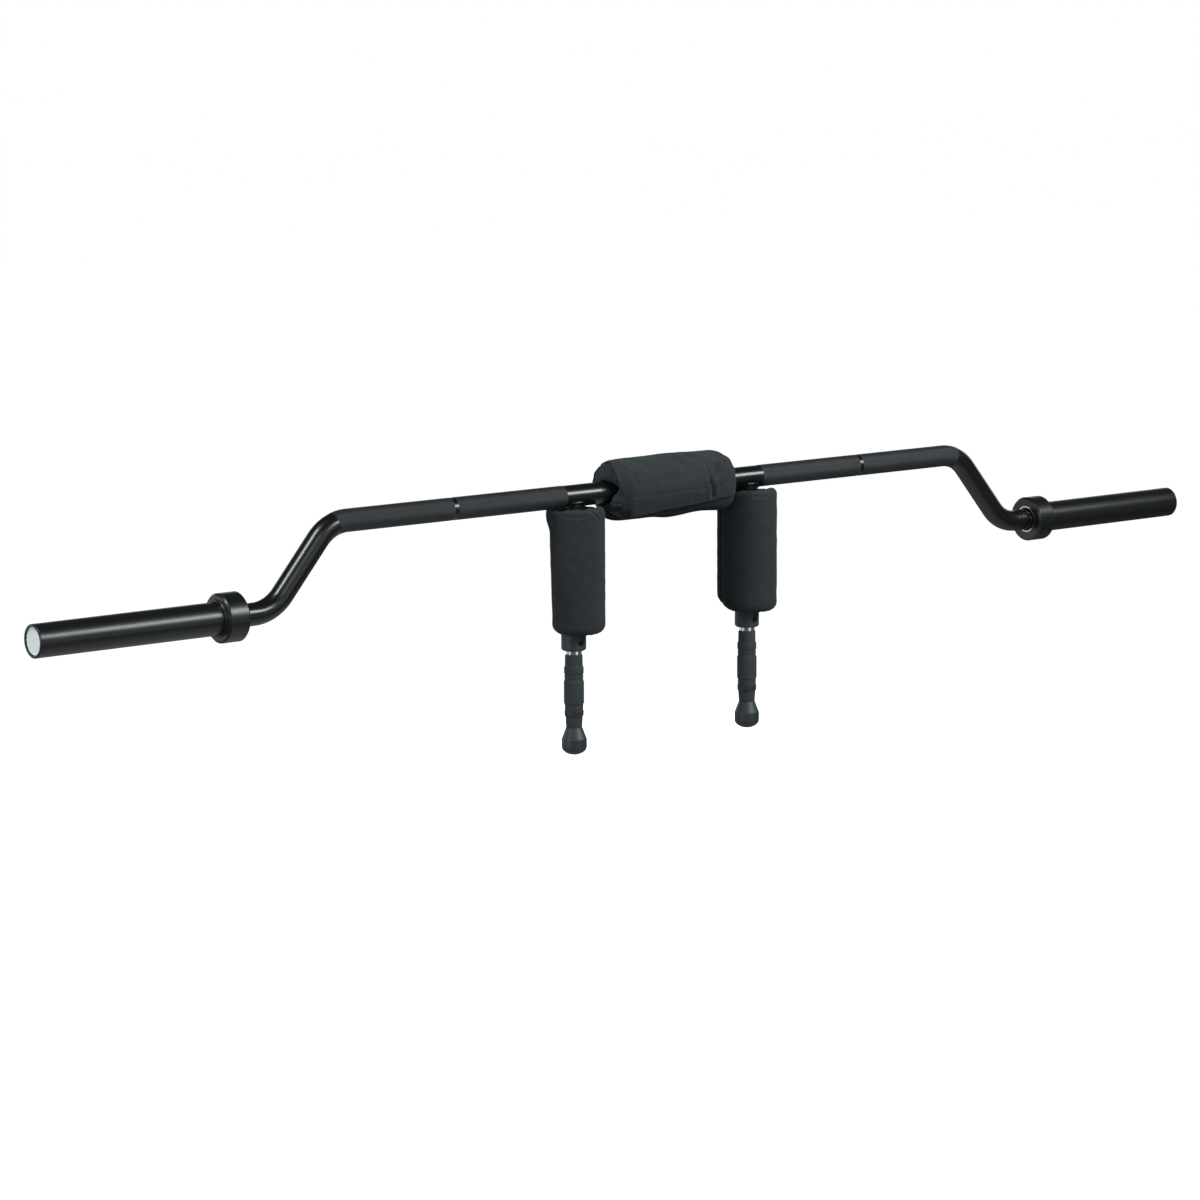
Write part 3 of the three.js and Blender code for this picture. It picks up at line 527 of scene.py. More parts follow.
# The second bend turns back round a centre above the tube.
second_centre = Vector((COLLAR_FACE - STUB, 0, BEND_R - CAMBER_DROP)) * MM
bpy.ops.mesh.spin(steps=20, angle=CAMBER, center=second_centre, axis=(0, 1, 0))
draw_out(EAST * STUB * MM)

# Inside the sleeve the rod runs on to its turned end, with a groove for the circlip. Each step is a distance
# from the sleeve's end and the radius from there on.
station, radius = COLLAR_FACE, BAR_R
for depth, after in ((55.2, 15), (26.6, 14), (24, 15), (21.5, 15), (20, 13.5)):
    stop = COLLAR_FACE + SLEEVE_END - depth
    draw_out(EAST * (stop - station) * MM)
    step_in(after / radius, Vector((stop, 0, -CAMBER_DROP)) * MM)
    station, radius = stop, after
bpy.ops.mesh.edge_face_add()
apply(bar, "MIRROR", merge_threshold=0.00001)
finish_mesh(bar)
print("bar rod", len(bar.data.polygons), "faces")

# %% [markdown]
# The knurling needs to know how far along and how far round the tube each point is. Near the bend the tube is
# no longer straight, so the distance is measured along its centre line and kept in a UV map, as if the skin
# were unrolled flat.

# %% Unrolled map and knurled faces
KNURL_LEAST = 0.15


def on_tube(point):
    """How far along the centre line, round it and out from it a point is, in metres and radians."""
    x, y, z = abs(point.x), point.y, point.z
    start, bend = BEND_START * MM, BEND_R * MM
    if x <= start:
        return x, math.atan2(y, z), math.hypot(y, z)
    lean = math.atan2(x - start, z + bend)
    away = math.hypot(x - start, z + bend) - bend
    return start + lean * bend, math.atan2(y, away), math.hypot(y, away)


unrolled_map = bar.data.uv_layers.new(name="unrolled")
for face in bar.data.polygons:
    corners = [on_tube(bar.data.vertices[v].co) for v in face.vertices]
    anchor = corners[0][1]
    for loop, (along, round_by, radius) in zip(face.loop_indices, corners):
        near = anchor + (round_by - anchor + math.pi) % (2 * math.pi) - math.pi
        unrolled_map.data[loop].uv = (along, near * BAR_R * MM)
    along = sum(corner[0] for corner in corners) / len(corners)
    radius = sum(corner[2] for corner in corners) / len(corners)
    raised = radius > (BAR_R + KNURL_LEAST) * MM and along < (BEND_START + KNURL_PAST_BEND + 1) * MM
    face.material_index = int(raised)
dress(bar, "bar", "bar_black", gloss_black, knurled_black)
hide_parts("bar_shaft")
print("knurled faces", sum(face.material_index for face in bar.data.polygons))

# %% [markdown]
# ## Sleeves and collars
# A thick collar is pressed on each sleeve tube. Its edges have a 3 mm chamfer that draws a bright arc, and a
# low boss stands round the tube. The bushes inside run on the bar, and a circlip in the collar's face holds
# the inner one. The right side is a mirrored copy of the left.

# %% Sleeve pieces
LEFT_FACE = Vector((-COLLAR_FACE, 0, -CAMBER_DROP)) * MM
COLLAR_R, CHAMFER = 37.35, 3
CLIP_THICK, CLIP_OPEN = 2, 0.28
collar = turned("left_collar_ring", [
    (22.3, 0.4), (COLLAR_R - CHAMFER, 0), (COLLAR_R, CHAMFER), (COLLAR_R, COLLAR_WIDTH - CHAMFER),
    (COLLAR_R - CHAMFER, COLLAR_WIDTH), (28.7, COLLAR_WIDTH), (28.3, COLLAR_WIDTH + 0.3),
    (28.3, COLLAR_WIDTH + 1.5), (27.3, COLLAR_WIDTH + 2.5), (25.3, COLLAR_WIDTH + 2.5), (25.3, SEAT),
    (22.3, SEAT), (22.3, 3.3), (23.3, 3.3), (23.3, 0.7), (22.3, 0.7),
], LEFT_FACE, WEST, 112, closed=True, rounding=0.35)
sleeve = turned("left_sleeve_tube", [
    (SLEEVE_BORE, SEAT + 0.3), (SLEEVE_R, SEAT + 0.3), (SLEEVE_R, SLEEVE_END - 1), (SLEEVE_R - 1, SLEEVE_END),
    (SLEEVE_BORE, SLEEVE_END),
], LEFT_FACE, WEST, 112, closed=True)
cap = turned("left_end_disc", [
    (20.7, SLEEVE_END - 14), (20.7, SLEEVE_END - 2.5), (20.2, SLEEVE_END - 2), (18.9, SLEEVE_END - 2),
    (18.3, SLEEVE_END - 2.6),
], LEFT_FACE, WEST, 96, rounding=0.2)


def square_ring(name, inner, outer, start, end, sides=72, rounding=0.3):
    """A ring of square section round the bar."""
    outline = [(inner, start), (outer, start), (outer, end), (inner, end)]
    return turned(name, outline, LEFT_FACE, WEST, sides, closed=True, rounding=rounding)


inner_bush = square_ring("left_inner_sleeve_bush", 18.0, 22.0, 3.3, SEAT - 0.1)
outer_bush = square_ring("left_outer_sleeve_bush", 15.5, 20.7, SLEEVE_END - 54.9, SLEEVE_END - 29.9)
washer = square_ring("left_washer", 15.4, 19.5, SLEEVE_END - 29.6, SLEEVE_END - 26.7)


def circlip(name, inner, outer, start):
    """A flat ring, open at the back, with rounded ends."""
    ring = square_ring(name, inner, outer, start, start + CLIP_THICK, 90, 0)
    edit_all(ring)
    mesh = bmesh.from_edit_mesh(ring.data)
    for face in mesh.faces:
        middle = face.calc_center_median() - LEFT_FACE
        face.select = abs(math.atan2(middle.z, middle.y)) < CLIP_OPEN
    bmesh.update_edit_mesh(ring.data)
    bpy.ops.mesh.delete(type="FACE")
    bpy.ops.mesh.select_all(action="SELECT")
    bpy.ops.mesh.fill_holes(sides=0)
    return finish_mesh(ring, 0.25 * MM)


collar_clip = circlip("left_inner_clip", 19.7, 22.6, 1)
bar_clip = circlip("left_end_clip", 14.3, 17.6, SLEEVE_END - 26.3)

TURNS, STAYS = "{}_sleeve_unit", "bar"
sleeve_rows = (
    (collar, TURNS, "sleeve_black", satin_black, "collar"),
    (sleeve, TURNS, "sleeve_black", satin_black, "sleeve"),
    (cap, TURNS, "cap_silver", cap_silver, "end_cap"),
    (inner_bush, TURNS, "bush_dark", bush_brown, "inner_bush"),
    (outer_bush, TURNS, "bush_dark", bush_brown, "outer_bush"),
    (collar_clip, TURNS, "bright_steel", bright_steel, "collar_circlip"),
    (washer, STAYS, "bright_steel", bright_steel, "thrust_washer"),
    (bar_clip, STAYS, "bright_steel", bright_steel, "bar_circlip"),
)
for piece, body, slot_name, material, node in sleeve_rows:
    both_sides(piece, body, slot_name, [material], [node])
print("sleeve pieces", 2 * len(sleeve_rows))

# %% [markdown]
# ## Arms, hubs and handles
# Each arm is a tube, cut to a saddle and welded under the bar, and the pad hides nearly all of it. A hub
# closes its lower end, and a set screw in the hub clamps the chrome rod of the handle. The rubber grip has a
# wide middle panel between smaller bands, and the knob is a cone, a band and a dome.

# %% Arm with its weld
ARM_AT = 177
LEFT_ARM = Vector((-ARM_AT, 0, 0)) * MM
ARM_R, HUB_R = 16, 19.8
arm = turned("left_arm_tube", [(13, 8.6), (ARM_R, 8.6), (ARM_R, 224.7), (13, 224.7)], LEFT_ARM, DOWN, 72,
             closed=True)
alone(arm)
bpy.ops.mesh.primitive_cylinder_add(vertices=96, radius=(BAR_R + 0.15) * MM, depth=0.08, location=LEFT_ARM,
                                    rotation=(0, math.pi / 2, 0))
cut_away(arm, bpy.context.object)
shade(arm)

# The weld is a torus laid on the tube, with a ripple for each drop of metal.
deselect()
bpy.ops.mesh.primitive_torus_add(major_segments=120, minor_segments=14, major_radius=(ARM_R + 1.0) * MM,
                                 minor_radius=2.5 * MM, location=LEFT_ARM)
weld = bpy.context.object
weld.name = weld.data.name = "left_weld_bead"
bpy.ops.object.transform_apply(location=True, rotation=True, scale=True)
for point in weld.data.vertices:
    across = Vector((point.co.x - LEFT_ARM.x, point.co.y))
    angle = math.atan2(across.y, across.x)
    reach = min(abs(point.co.y), 0.985 * BAR_R * MM)
    ripple = 0.35 * MM * math.sin(46 * angle + 9 * point.co.z / MM) + 0.5 * MM * noise.noise(point.co * 160)
    outwards = across.normalized() * ripple
    drop = math.sqrt((BAR_R * MM) ** 2 - reach ** 2)
    point.co += Vector((outwards.x, outwards.y, ripple - max(drop, 8.5 * MM) - 0.8 * MM))
bpy.ops.object.shade_smooth()

# %% Hub and set screw
hub = turned("left_hub_socket", [
    (16.3, 213.2), (HUB_R, 213.2), (HUB_R, 241.5), (19.0, 243.6), (16.6, 245), (12.9, 245), (12.9, 225),
    (16.3, 225),
], LEFT_ARM, DOWN, 96, closed=True, rounding=0.5)
SCREW_AT = LEFT_ARM + Vector((0, 0, -232.5)) * MM


def hole(sides, radius, depth, away):
    """A cylinder across the hub, away from its axis towards the front, that cuts a hole."""
    bpy.ops.mesh.primitive_cylinder_add(vertices=sides, radius=radius * MM, depth=depth * MM,
                                        location=SCREW_AT - Vector((0, away * MM, 0)),
                                        rotation=(math.pi / 2, 0, 0))
    return bpy.context.object


cut_away(hub, hole(48, 5.0, 22, 11))
bpy.ops.mesh.primitive_cone_add(vertices=48, radius1=6.2 * MM, radius2=4.4 * MM, depth=1.8 * MM,
                                location=SCREW_AT - Vector((0, 19.6 * MM, 0)), rotation=(-math.pi / 2, 0, 0))
cut_away(hub, bpy.context.object)
shade(hub)

screw = turned("left_lock_screw", [(4.7, 12.8), (4.7, 16.9), (4.3, 17.5), (3.1, 17.5)], SCREW_AT, FRONT, 48,
               rounding=0.15)
cut_away(screw, hole(6, 2.9, 8, 18.0))
shade(screw)

# %% Rod, grip and knob
rod = turned("left_chrome_rod", [
    (11, 200), (12.5, 201.5), (12.5, 251.2), (8, 251.2), (8, 395.2),
], LEFT_ARM, DOWN, 80)
GRIP_R, GRIP_TOP, GRIP_LONG, GRIP_BORE = 15.95, 251.5, 116, 8.3
grip_steps = (
    (0.50, 0), (0.80, 0), (0.845, 0.006), (0.87, 0.02), (0.88, 0.10), (0.893, 0.165), (0.90, 0.170),
    (0.965, 0.176), (0.975, 0.185), (0.972, 0.255), (0.96, 0.262), (0.915, 0.268), (0.915, 0.288),
    (0.935, 0.294), (0.935, 0.318), (0.915, 0.324), (0.915, 0.342), (0.935, 0.348), (0.935, 0.362),
    (0.985, 0.370), (1.0, 0.38), (1.0, 0.665), (0.985, 0.674), (0.93, 0.680), (0.93, 0.70), (0.912, 0.705),
    (0.912, 0.718), (0.93, 0.723), (0.925, 0.745), (0.905, 0.75), (0.905, 0.766), (0.955, 0.772),
    (0.965, 0.78), (0.958, 0.838), (0.945, 0.848), (0.875, 0.856), (0.86, 0.87), (0.845, 0.92),
    (0.825, 0.97), (0.80, 1.0), (0.50, 1.0),
)
grip_outline = [(share * GRIP_R, GRIP_TOP + down * GRIP_LONG) for share, down in grip_steps]
grip_outline += [(GRIP_BORE, GRIP_TOP + GRIP_LONG), (GRIP_BORE, GRIP_TOP)]
grip = turned("left_handle_grip", grip_outline, LEFT_ARM, DOWN, 96, closed=True, rounding=0.25)
for face in grip.data.polygons:
    down = -face.center.z / MM - GRIP_TOP
    face.material_index = int(0.768 < down / GRIP_LONG < 0.85)
KNOB_R, KNOB_TOP = 20.1, 367.8
knob_outline = [
    (GRIP_BORE, KNOB_TOP), (12.9, KNOB_TOP), (13.3, KNOB_TOP + 0.5), (13.3, KNOB_TOP + 1.2),
    (19.3, KNOB_TOP + 16.8), (19.9, KNOB_TOP + 18.2), (KNOB_R, KNOB_TOP + 19.2), (KNOB_R, KNOB_TOP + 31.2),
]
for t in np.linspace(0.12, 1.32, 9):
    knob_outline.append((KNOB_R * math.cos(t), KNOB_TOP + 31.5 + 13.2 * math.sin(t)))
knob_outline += [(3.0, KNOB_TOP + 44.6), (0.4, KNOB_TOP + 44.7)]
knob = turned("left_handle_knob", knob_outline, LEFT_ARM, DOWN, 96, rounding=0.2)

arm_rows = (
    (arm, "bar_black", [gloss_black], ["arm"]),
    (weld, "bar_black", [gloss_black], []),
    (hub, "hub_black", [hub_black], ["hub"]),
    (screw, "hub_black", [band_rubber], ["set_screw"]),
    (rod, "chrome_rod", [chrome], ["handle_rod"]),
    (grip, "grip_rubber", [grip_rubber, band_rubber], ["grip"]),
    (knob, "knob_plastic", [knob_plastic], ["knob"]),
)
for piece, slot_name, materials, nodes in arm_rows:
    both_sides(piece, STAYS, slot_name, materials, nodes)
print("handles made")

# %% [markdown]
# ## Fabric
# The covers are a matt charcoal nylon. From a step away it looks slightly mottled, and close up it is a plain
# weave. The pads carry a map of their unrolled skin in metres, so the threads follow the cloth.

# %% Weave group and fabric materials
weave, given, made = new_group(
    "plain_weave", [("Vector", "NodeSocketVector", None), ("Pitch", "NodeSocketFloat", 0.0011)],
    ["Height", "Threads"])
ways = add_node(weave, "SeparateXYZ", {0: given["Vector"]}).outputs
waves = []
for way in ("X", "Y"):
    turns = math_node(weave, "DIVIDE", math_node(weave, "MULTIPLY", ways[way], 2 * math.pi), given["Pitch"])
    waves.append(math_node(weave, "SINE", turns))
crossing = math_node(weave, "MULTIPLY", *waves)
weave.links.new(math_node(weave, "MULTIPLY_ADD", crossing, 0.5, 0.5), made["Height"])
weave.links.new(math_node(weave, "ABSOLUTE", crossing), made["Threads"])


def cloth(name, dark, pale, pitch, roughness):
    """A woven fabric: threads from the unrolled map, and mottling in space."""
    material, tree, shader = principled(name, dark, roughness, Sheen_Weight=0.05, Sheen_Roughness=0.6,
                                        Specular_IOR_Level=0.25)
    skin_map = add_node(tree, "UVMap", uv_map="unrolled").outputs["UV"]
    threads = place_group(tree, weave, skin_map, Pitch=pitch).outputs
    place = add_node(tree, "TexCoord").outputs["Object"]
    mottle = place_group(tree, grain, place, Scale=420.0, Cloudiness=26.0).outputs
    tone = math_node(tree, "MULTIPLY_ADD", threads["Threads"], 0.25, mottle["Tone"])
    spread(tree, math_node(tree, "SUBTRACT", tone, 0.1), dark, pale, shader.inputs["Base Color"])
    spread(tree, mottle["Height"], roughness - 0.08, roughness + 0.06, shader.inputs["Roughness"])
    depth = math_node(tree, "MULTIPLY_ADD", mottle["Height"], 0.9, threads["Height"])
    bump(tree, shader, depth, 0.0004, 0.8)
    return material


cover_cloth = cloth("cover_nylon", (0.0105, 0.0133, 0.015), (0.038, 0.045, 0.049), 0.0011, 0.86)
hook_cloth = cloth("hook_tape", (0.006, 0.0065, 0.007), (0.016, 0.017, 0.018), 0.0016, 0.95)
thread = grained("sewing_thread", ((0.012, 0.013, 0.014), (0.03, 0.033, 0.035)), (0.6, 0.8), 2500, 0.0001)

# %% [markdown]
# ## Padded pieces
# Each pad is a foam block in a sewn cover. Its skin starts as a grid of rings a little smaller than the
# pad. A Cloth simulation with pressure swells it between its seams, and the drawn-in mouths are held. The
# larger folds, which come from how the covers were pulled on, are then pushed in along chosen lines, as
# with a sculpting brush.

# %% Pad helpers
SWELL_STEPS = 20
WEAVE_GIRTH = 2 * math.pi * 45 * MM


def ease(low, high, value):
    """0 below low, 1 above high, smooth between. Works on numbers and arrays."""
    share = np.clip((value - low) / (high - low), 0, 1)
    return share * share * (3 - 2 * share)


def new_piece(name, points, faces, uv=None):
    """An object from points and faces. uv holds its unrolled map, corner by corner, in metres."""
    mesh = bpy.data.meshes.new(name)
    mesh.from_pydata(points, [], faces)
    if uv is not None:
        mesh.uv_layers.new(name="unrolled").data.foreach_set("uv", np.array(uv, np.float32).ravel())
    piece = bpy.data.objects.new(name, mesh)
    bpy.context.scene.collection.objects.link(piece)
    alone(piece)
    return piece


def ring_skin(name, rings, stations):
    """A closed skin from rings of points, the last joined to the first. stations: metres along the skin."""
    count, sides = len(rings), len(rings[0])
    faces = [(k * sides + i, k * sides + (i + 1) % sides, (k + 1) % count * sides + (i + 1) % sides,
              (k + 1) % count * sides + i) for k in range(count) for i in range(sides)]
    along = np.append(stations, stations[-1] + 0.02)
    uv = [((i + di) / sides * WEAVE_GIRTH, along[k + dk]) for k in range(count) for i in range(sides)
          for dk, di in ((0, 0), (0, 1), (1, 1), (1, 0))]
    piece = new_piece(name, np.concatenate(rings).tolist(), faces, uv)
    faces_out(piece)
    return piece


def places(piece):
    """The piece's points as an array."""
    numbers = np.empty(len(piece.data.vertices) * 3, np.float32)
    piece.data.vertices.foreach_get("co", numbers)
    return numbers.reshape(-1, 3).astype(float)


def put(piece, points):
    """Moves the piece's points."""
    piece.data.vertices.foreach_set("co", points.astype(np.float32).ravel())
    piece.data.update()


def puff(piece, held, slack, limit):
    """Swells a skin with a Cloth simulation. held: each point's pin weight. limit: the longest move."""
    alone(piece)
    before = places(piece)
    group = piece.vertex_groups.new(name="held")
    for index, weight in enumerate(held):
        if weight > 0:
            group.add([index], float(weight), "REPLACE")
    swell = piece.modifiers.new("swell", "CLOTH")
    settings = swell.settings
    settings.quality, settings.mass = 6, 0.2
    settings.tension_stiffness = settings.compression_stiffness = 18
    settings.shear_stiffness, settings.bending_stiffness = 6, 0.4
    settings.vertex_group_mass = group.name
    settings.use_pressure, settings.uniform_pressure_force = True, 4.0
    settings.shrink_min = -slack
    settings.effector_weights.gravity = 0
    swell.collision_settings.use_collision = False
    swell.point_cache.frame_start, swell.point_cache.frame_end = 1, SWELL_STEPS
    for step in range(1, SWELL_STEPS + 1):
        bpy.context.scene.frame_set(step)
    bpy.ops.object.modifier_apply(modifier=swell.name)
    move = places(piece) - before
    length = np.linalg.norm(move, axis=1, keepdims=True)
    put(piece, before + move * np.minimum(1, limit / np.maximum(length, 1e-9)))
    print(piece.name, "swelled by up to", round(float(length.max()) / MM, 1), "mm")


def wobble(points, scale, seed):
    """Smooth noise between -1 and 1 at each point."""
    shift = Vector((seed * 7.3, seed * 3.1, seed * 5.7))
    return np.array([noise.noise(Vector(p) * scale + shift) for p in points])


def crease(along, across, path, width, depth):
    """A fold along a path of (along, across) points: a groove with a raised lip on each side."""
    best = np.full(len(along), 1e9)
    for (a0, b0), (a1, b1) in zip(path, path[1:]):
        run = np.array([a1 - a0, b1 - b0])
        share = np.clip(((along - a0) * run[0] + (across - b0) * run[1]) / (run @ run), 0, 1)
        best = np.minimum(best, np.hypot(along - a0 - share * run[0], across - b0 - share * run[1]))
    t = best / width
    lip = 0.5 * np.exp(-((t - 1.9) / 0.9) ** 2)
    return depth * (lip - np.exp(-t * t))


def creases(along, across, lines):
    """All folds of a list of (path, width, depth) together."""
    return sum(crease(along, across, *line) for line in lines)


def soften(piece):
    """Adds one applied subdivision and smooth shading."""
    apply(piece, "SUBSURF", levels=1, render_levels=1)
    bpy.ops.object.shade_smooth()


def pad_piece(pad, *nodes):
    """Dresses a padded piece, which stands for a cover and its foam."""
    dress(pad, "bar", "pad_fabric", cover_cloth)
    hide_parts(*nodes)
    print(pad.name, len(pad.data.polygons), "faces")

# %% [markdown]
# ### Shoulder pads
# They are oval in plan and sit off the arm's centre, because the cover overlaps at the back. The cover is
# gathered at the top under the bar. The left one was pulled up hard, so its top flares out on one side
# with flat folds under the rim. The right one has small wrinkles where its foot turns in to the hub.

# %% Shoulder pad shapes
PAD_TOP, PAD_LONG = 24.0, 192.0
PAD_SHORT_R, PAD_LONG_R, PAD_LEAN = 43.5, 47.75, 0.915
PAD_INWARD, PAD_FORWARD = 3.5, 7.0
TOP_ROUND, FOOT_ROUND, SEAM_PIN = 9, 13, 0.35
ANGLES = np.arange(96) * 2 * math.pi / 96
QUARTER = math.pi / 2

# Directions in plan, in degrees from +X towards +Y: the side seen in the photograph, and the flared one.
SEEN_SIDE, FLARE_SIDE = 232, 142
SKIN_PER_DEGREE = 0.79


def oval(angle, inset):
    """A point on the pad's oval, in millimetres: first inwards from the arm, then to the back."""
    along, across = (PAD_LONG_R - inset) * np.cos(angle), (PAD_SHORT_R - inset) * np.sin(angle)
    c, s = math.cos(PAD_LEAN), math.sin(PAD_LEAN)
    return PAD_INWARD + along * c - across * s, -PAD_FORWARD + along * s + across * c


def pad_rows():
    """A pad's rings from mouth to foot: station, inset or share of the lip, mouth radius, pin weight."""
    rows = [(30, None, 16.9, 1.0), (6, None, 16.9, 1.0), (3.2, None, 18.5, 1.0)]
    rows += [(2.4 - 1.6 * share, share, 18.5, 0.0) for share in (0.25, 0.5, 0.75)]
    for k in range(7):
        turn_by = k / 6 * QUARTER
        rows.append((TOP_ROUND - TOP_ROUND * math.cos(turn_by), TOP_ROUND * (1 - math.sin(turn_by)), None,
                     SEAM_PIN if k == 3 else 0.0))
    body = np.linspace(TOP_ROUND, PAD_LONG - FOOT_ROUND, 50)[1:-1]
    rows += [(station, 0.0, None, 0.0) for station in body]
    for k in range(8):
        turn_by = (1 - k / 7) * QUARTER
        rows.append((PAD_LONG - FOOT_ROUND + FOOT_ROUND * math.cos(turn_by),
                     FOOT_ROUND * (1 - math.sin(turn_by)), None, SEAM_PIN if k == 4 else 0.0))
    rows += [(PAD_LONG - 1.6 * (1 - share), share, 21.0, 0.0) for share in (0.75, 0.5, 0.25)]
    foot = ((2.4, 21.0), (5, 20.2), (9, 16.9))
    return rows + [(PAD_LONG - above, None, mouth, 1.0) for above, mouth in foot]


def shoulder_pad(side, way, marks):
    """Builds one pad cover. marks(direction, station, distance, points) gives its folds and lifts."""
    start_inset, seed = (0.1, 3) if way < 0 else (0.7, 8)
    rings, held, stations = [], [], []
    for station, inset, mouth, pin in pad_rows():
        if mouth:
            lip = mouth * np.cos(ANGLES + PAD_LEAN), mouth * np.sin(ANGLES + PAD_LEAN)
        if inset is None:
            across = lip
        elif mouth is None:
            across = oval(ANGLES, inset + start_inset)
        else:
            rim = oval(ANGLES, (TOP_ROUND if station < 50 else FOOT_ROUND) + start_inset)
            across = [inset * r + (1 - inset) * q for r, q in zip(rim, lip)]
        x = way * (ARM_AT - across[0])
        rings.append(np.stack([x, across[1], np.full(96, -PAD_TOP - station)], axis=1) * MM)
        held += [pin] * 96
        stations.append(station * MM)
    piece = ring_skin(side + "_shoulder_pad", rings, np.array(stations))
    points = places(piece)
    axis = np.array([way * (ARM_AT - PAD_INWARD), -PAD_FORWARD]) * MM
    out = points[:, :2] - axis
    out /= np.maximum(np.linalg.norm(out, axis=1, keepdims=True), 1e-6)
    free = 1 - np.array(held)
    points[:, :2] += out * (wobble(points, 70, seed) * 0.5 * MM * free)[:, None]
    put(piece, points)
    puff(piece, held, 0.0, 5 * MM)
    soften(piece)
    points = places(piece)
    out = points[:, :2] - axis
    distance = np.linalg.norm(out, axis=1)
    out /= np.maximum(distance, 1e-6)[:, None]
    station = -points[:, 2] / MM - PAD_TOP
    outer = ease(24 * MM, 34 * MM, distance)
    direction = np.degrees(np.arctan2(out[:, 1], out[:, 0])) % 360
    push, lift = marks(direction, station, distance / MM, points)
    points[:, :2] += out * (push * MM * outer)[:, None]

    # The cover's top stands up beside the round bar, and stays just under it where the bar crosses.
    beside = ease(13 * MM, 25 * MM, np.abs(points[:, 1]))
    points[:, 2] += (lift + (2.5 + 4.8 * beside * outer) * (1 - ease(2, 55, station))) * MM
    put(piece, points)
    return piece


def apart(direction, centre):
    """Degrees between directions, from -180 to 180."""
    return (direction - centre + 180) % 360 - 180


def gathered(direction, station, distance, points, top, bunch, foot):
    """Lifts of the gathered rims in millimetres. Each of the last three is a height and how it varies."""
    rim, turn_by = 1 - ease(34, 42, distance), np.radians(direction)
    height, count, seed = top
    pleats = height * np.sin(turn_by * count + 3 * wobble(points, 40, seed))
    waves = rim * (1 - ease(6, 20, station)) * pleats
    waves += bunch[0] * wobble(points, 60, bunch[1]) * (1 - ease(4, 14, station))
    return waves - rim * (1 - ease(6, 20, PAD_LONG - station)) * foot[0] * np.sin(turn_by * foot[1])


LEFT_FOLDS = (
    ([(-34, 4), (-18, 9), (2, 10), (20, 7)], 2.2, 0.9), ([(20, 2), (31, 8), (39, 17)], 2.0, 1.3),
    ([(33, 1), (41, 7)], 1.8, 1.0), ([(-52, 10), (-46, 22), (-48, 40)], 3.5, 1.0),
    ([(-30, 186), (-36, 172), (-34, 160)], 2.6, 0.8), ([(-12, 60), (-2, 84), (-6, 110)], 9.0, 0.5),
)
RIGHT_FOLDS = [([(8, 8), (26, 9.5), (42, 7)], 2.2, 1.1)]
for offset in (0, 5, 9, 14):
    wrinkle = [(-46 + offset, 172 - offset * 0.2), (-38 + offset, 181), (-31 + offset, 190)]
    RIGHT_FOLDS.append((wrinkle, 1.4, 0.8))


def left_marks(direction, station, distance, points):
    """Folds of the left cover, outwards and upwards in millimetres."""
    around = apart(direction, SEEN_SIDE) * SKIN_PER_DEGREE
    off_flare = apart(direction, FLARE_SIDE)
    flare = np.exp(-(off_flare / 48) ** 2) * (1 - ease(12, 36, station)) * 6.0
    taper = -np.exp(-(off_flare / 60) ** 2) * ease(30, 190, station) * 3.0
    soft = 0.35 * wobble(points, 26, 4) + 0.2 * wobble(points, 80, 6)
    lifts = gathered(direction, station, distance, points, (0.6, 13, 2), (1.2, 21), (0.4, 19))
    return flare + taper + soft + creases(around, station, LEFT_FOLDS), lifts


def right_marks(direction, station, distance, points):
    """Folds of the right cover, outwards and upwards in millimetres."""
    around = apart(direction, SEEN_SIDE) * SKIN_PER_DEGREE
    soft = 0.28 * wobble(points, 24, 12) + 0.15 * wobble(points, 80, 16)
    foot = -np.exp(-(apart(direction, FLARE_SIDE) / 60) ** 2) * ease(166, 192, station) * 7.5
    lifts = gathered(direction, station, distance, points, (0.5, 14, 9), (0.9, 31), (0.5, 21))
    return soft + creases(around, station, RIGHT_FOLDS) + foot, lifts


SIDES = (("left", -1), ("right", 1))
for (side, way), marks in zip(SIDES, (left_marks, right_marks)):
    pad_piece(shoulder_pad(side, way, marks), side + "_pad_cover", side + "_pad_foam")

# %% [markdown]
# ### Neck roll
# A superellipse in section, a little flatter in front and on top than a circle. Its cover is longer than
# the foam and is drawn in round the bar at each end, so the left end bulges towards the bar's bend in
# soft gathers.

# %% Neck roll
NECK_FROM, NECK_TO, NECK_R, NECK_EXPONENT = -106.0, 120.0, 46.5, 2.5
NECK_MOUTH, LEFT_ROUND, RIGHT_ROUND = 18.4, 12.0, 13.0
SKIN_R = NECK_R - 2.0
ROUND_ANGLES = np.arange(128) * 2 * math.pi / 128


def roll_section(angle, radius):
    """Front and up in the roll's section, in millimetres. Angle 0 is the front, a quarter turn the top."""
    front, high = np.cos(angle), np.sin(angle)
    power = 2 / NECK_EXPONENT
    return radius * np.sign(front) * np.abs(front) ** power, radius * np.sign(high) * np.abs(high) ** power


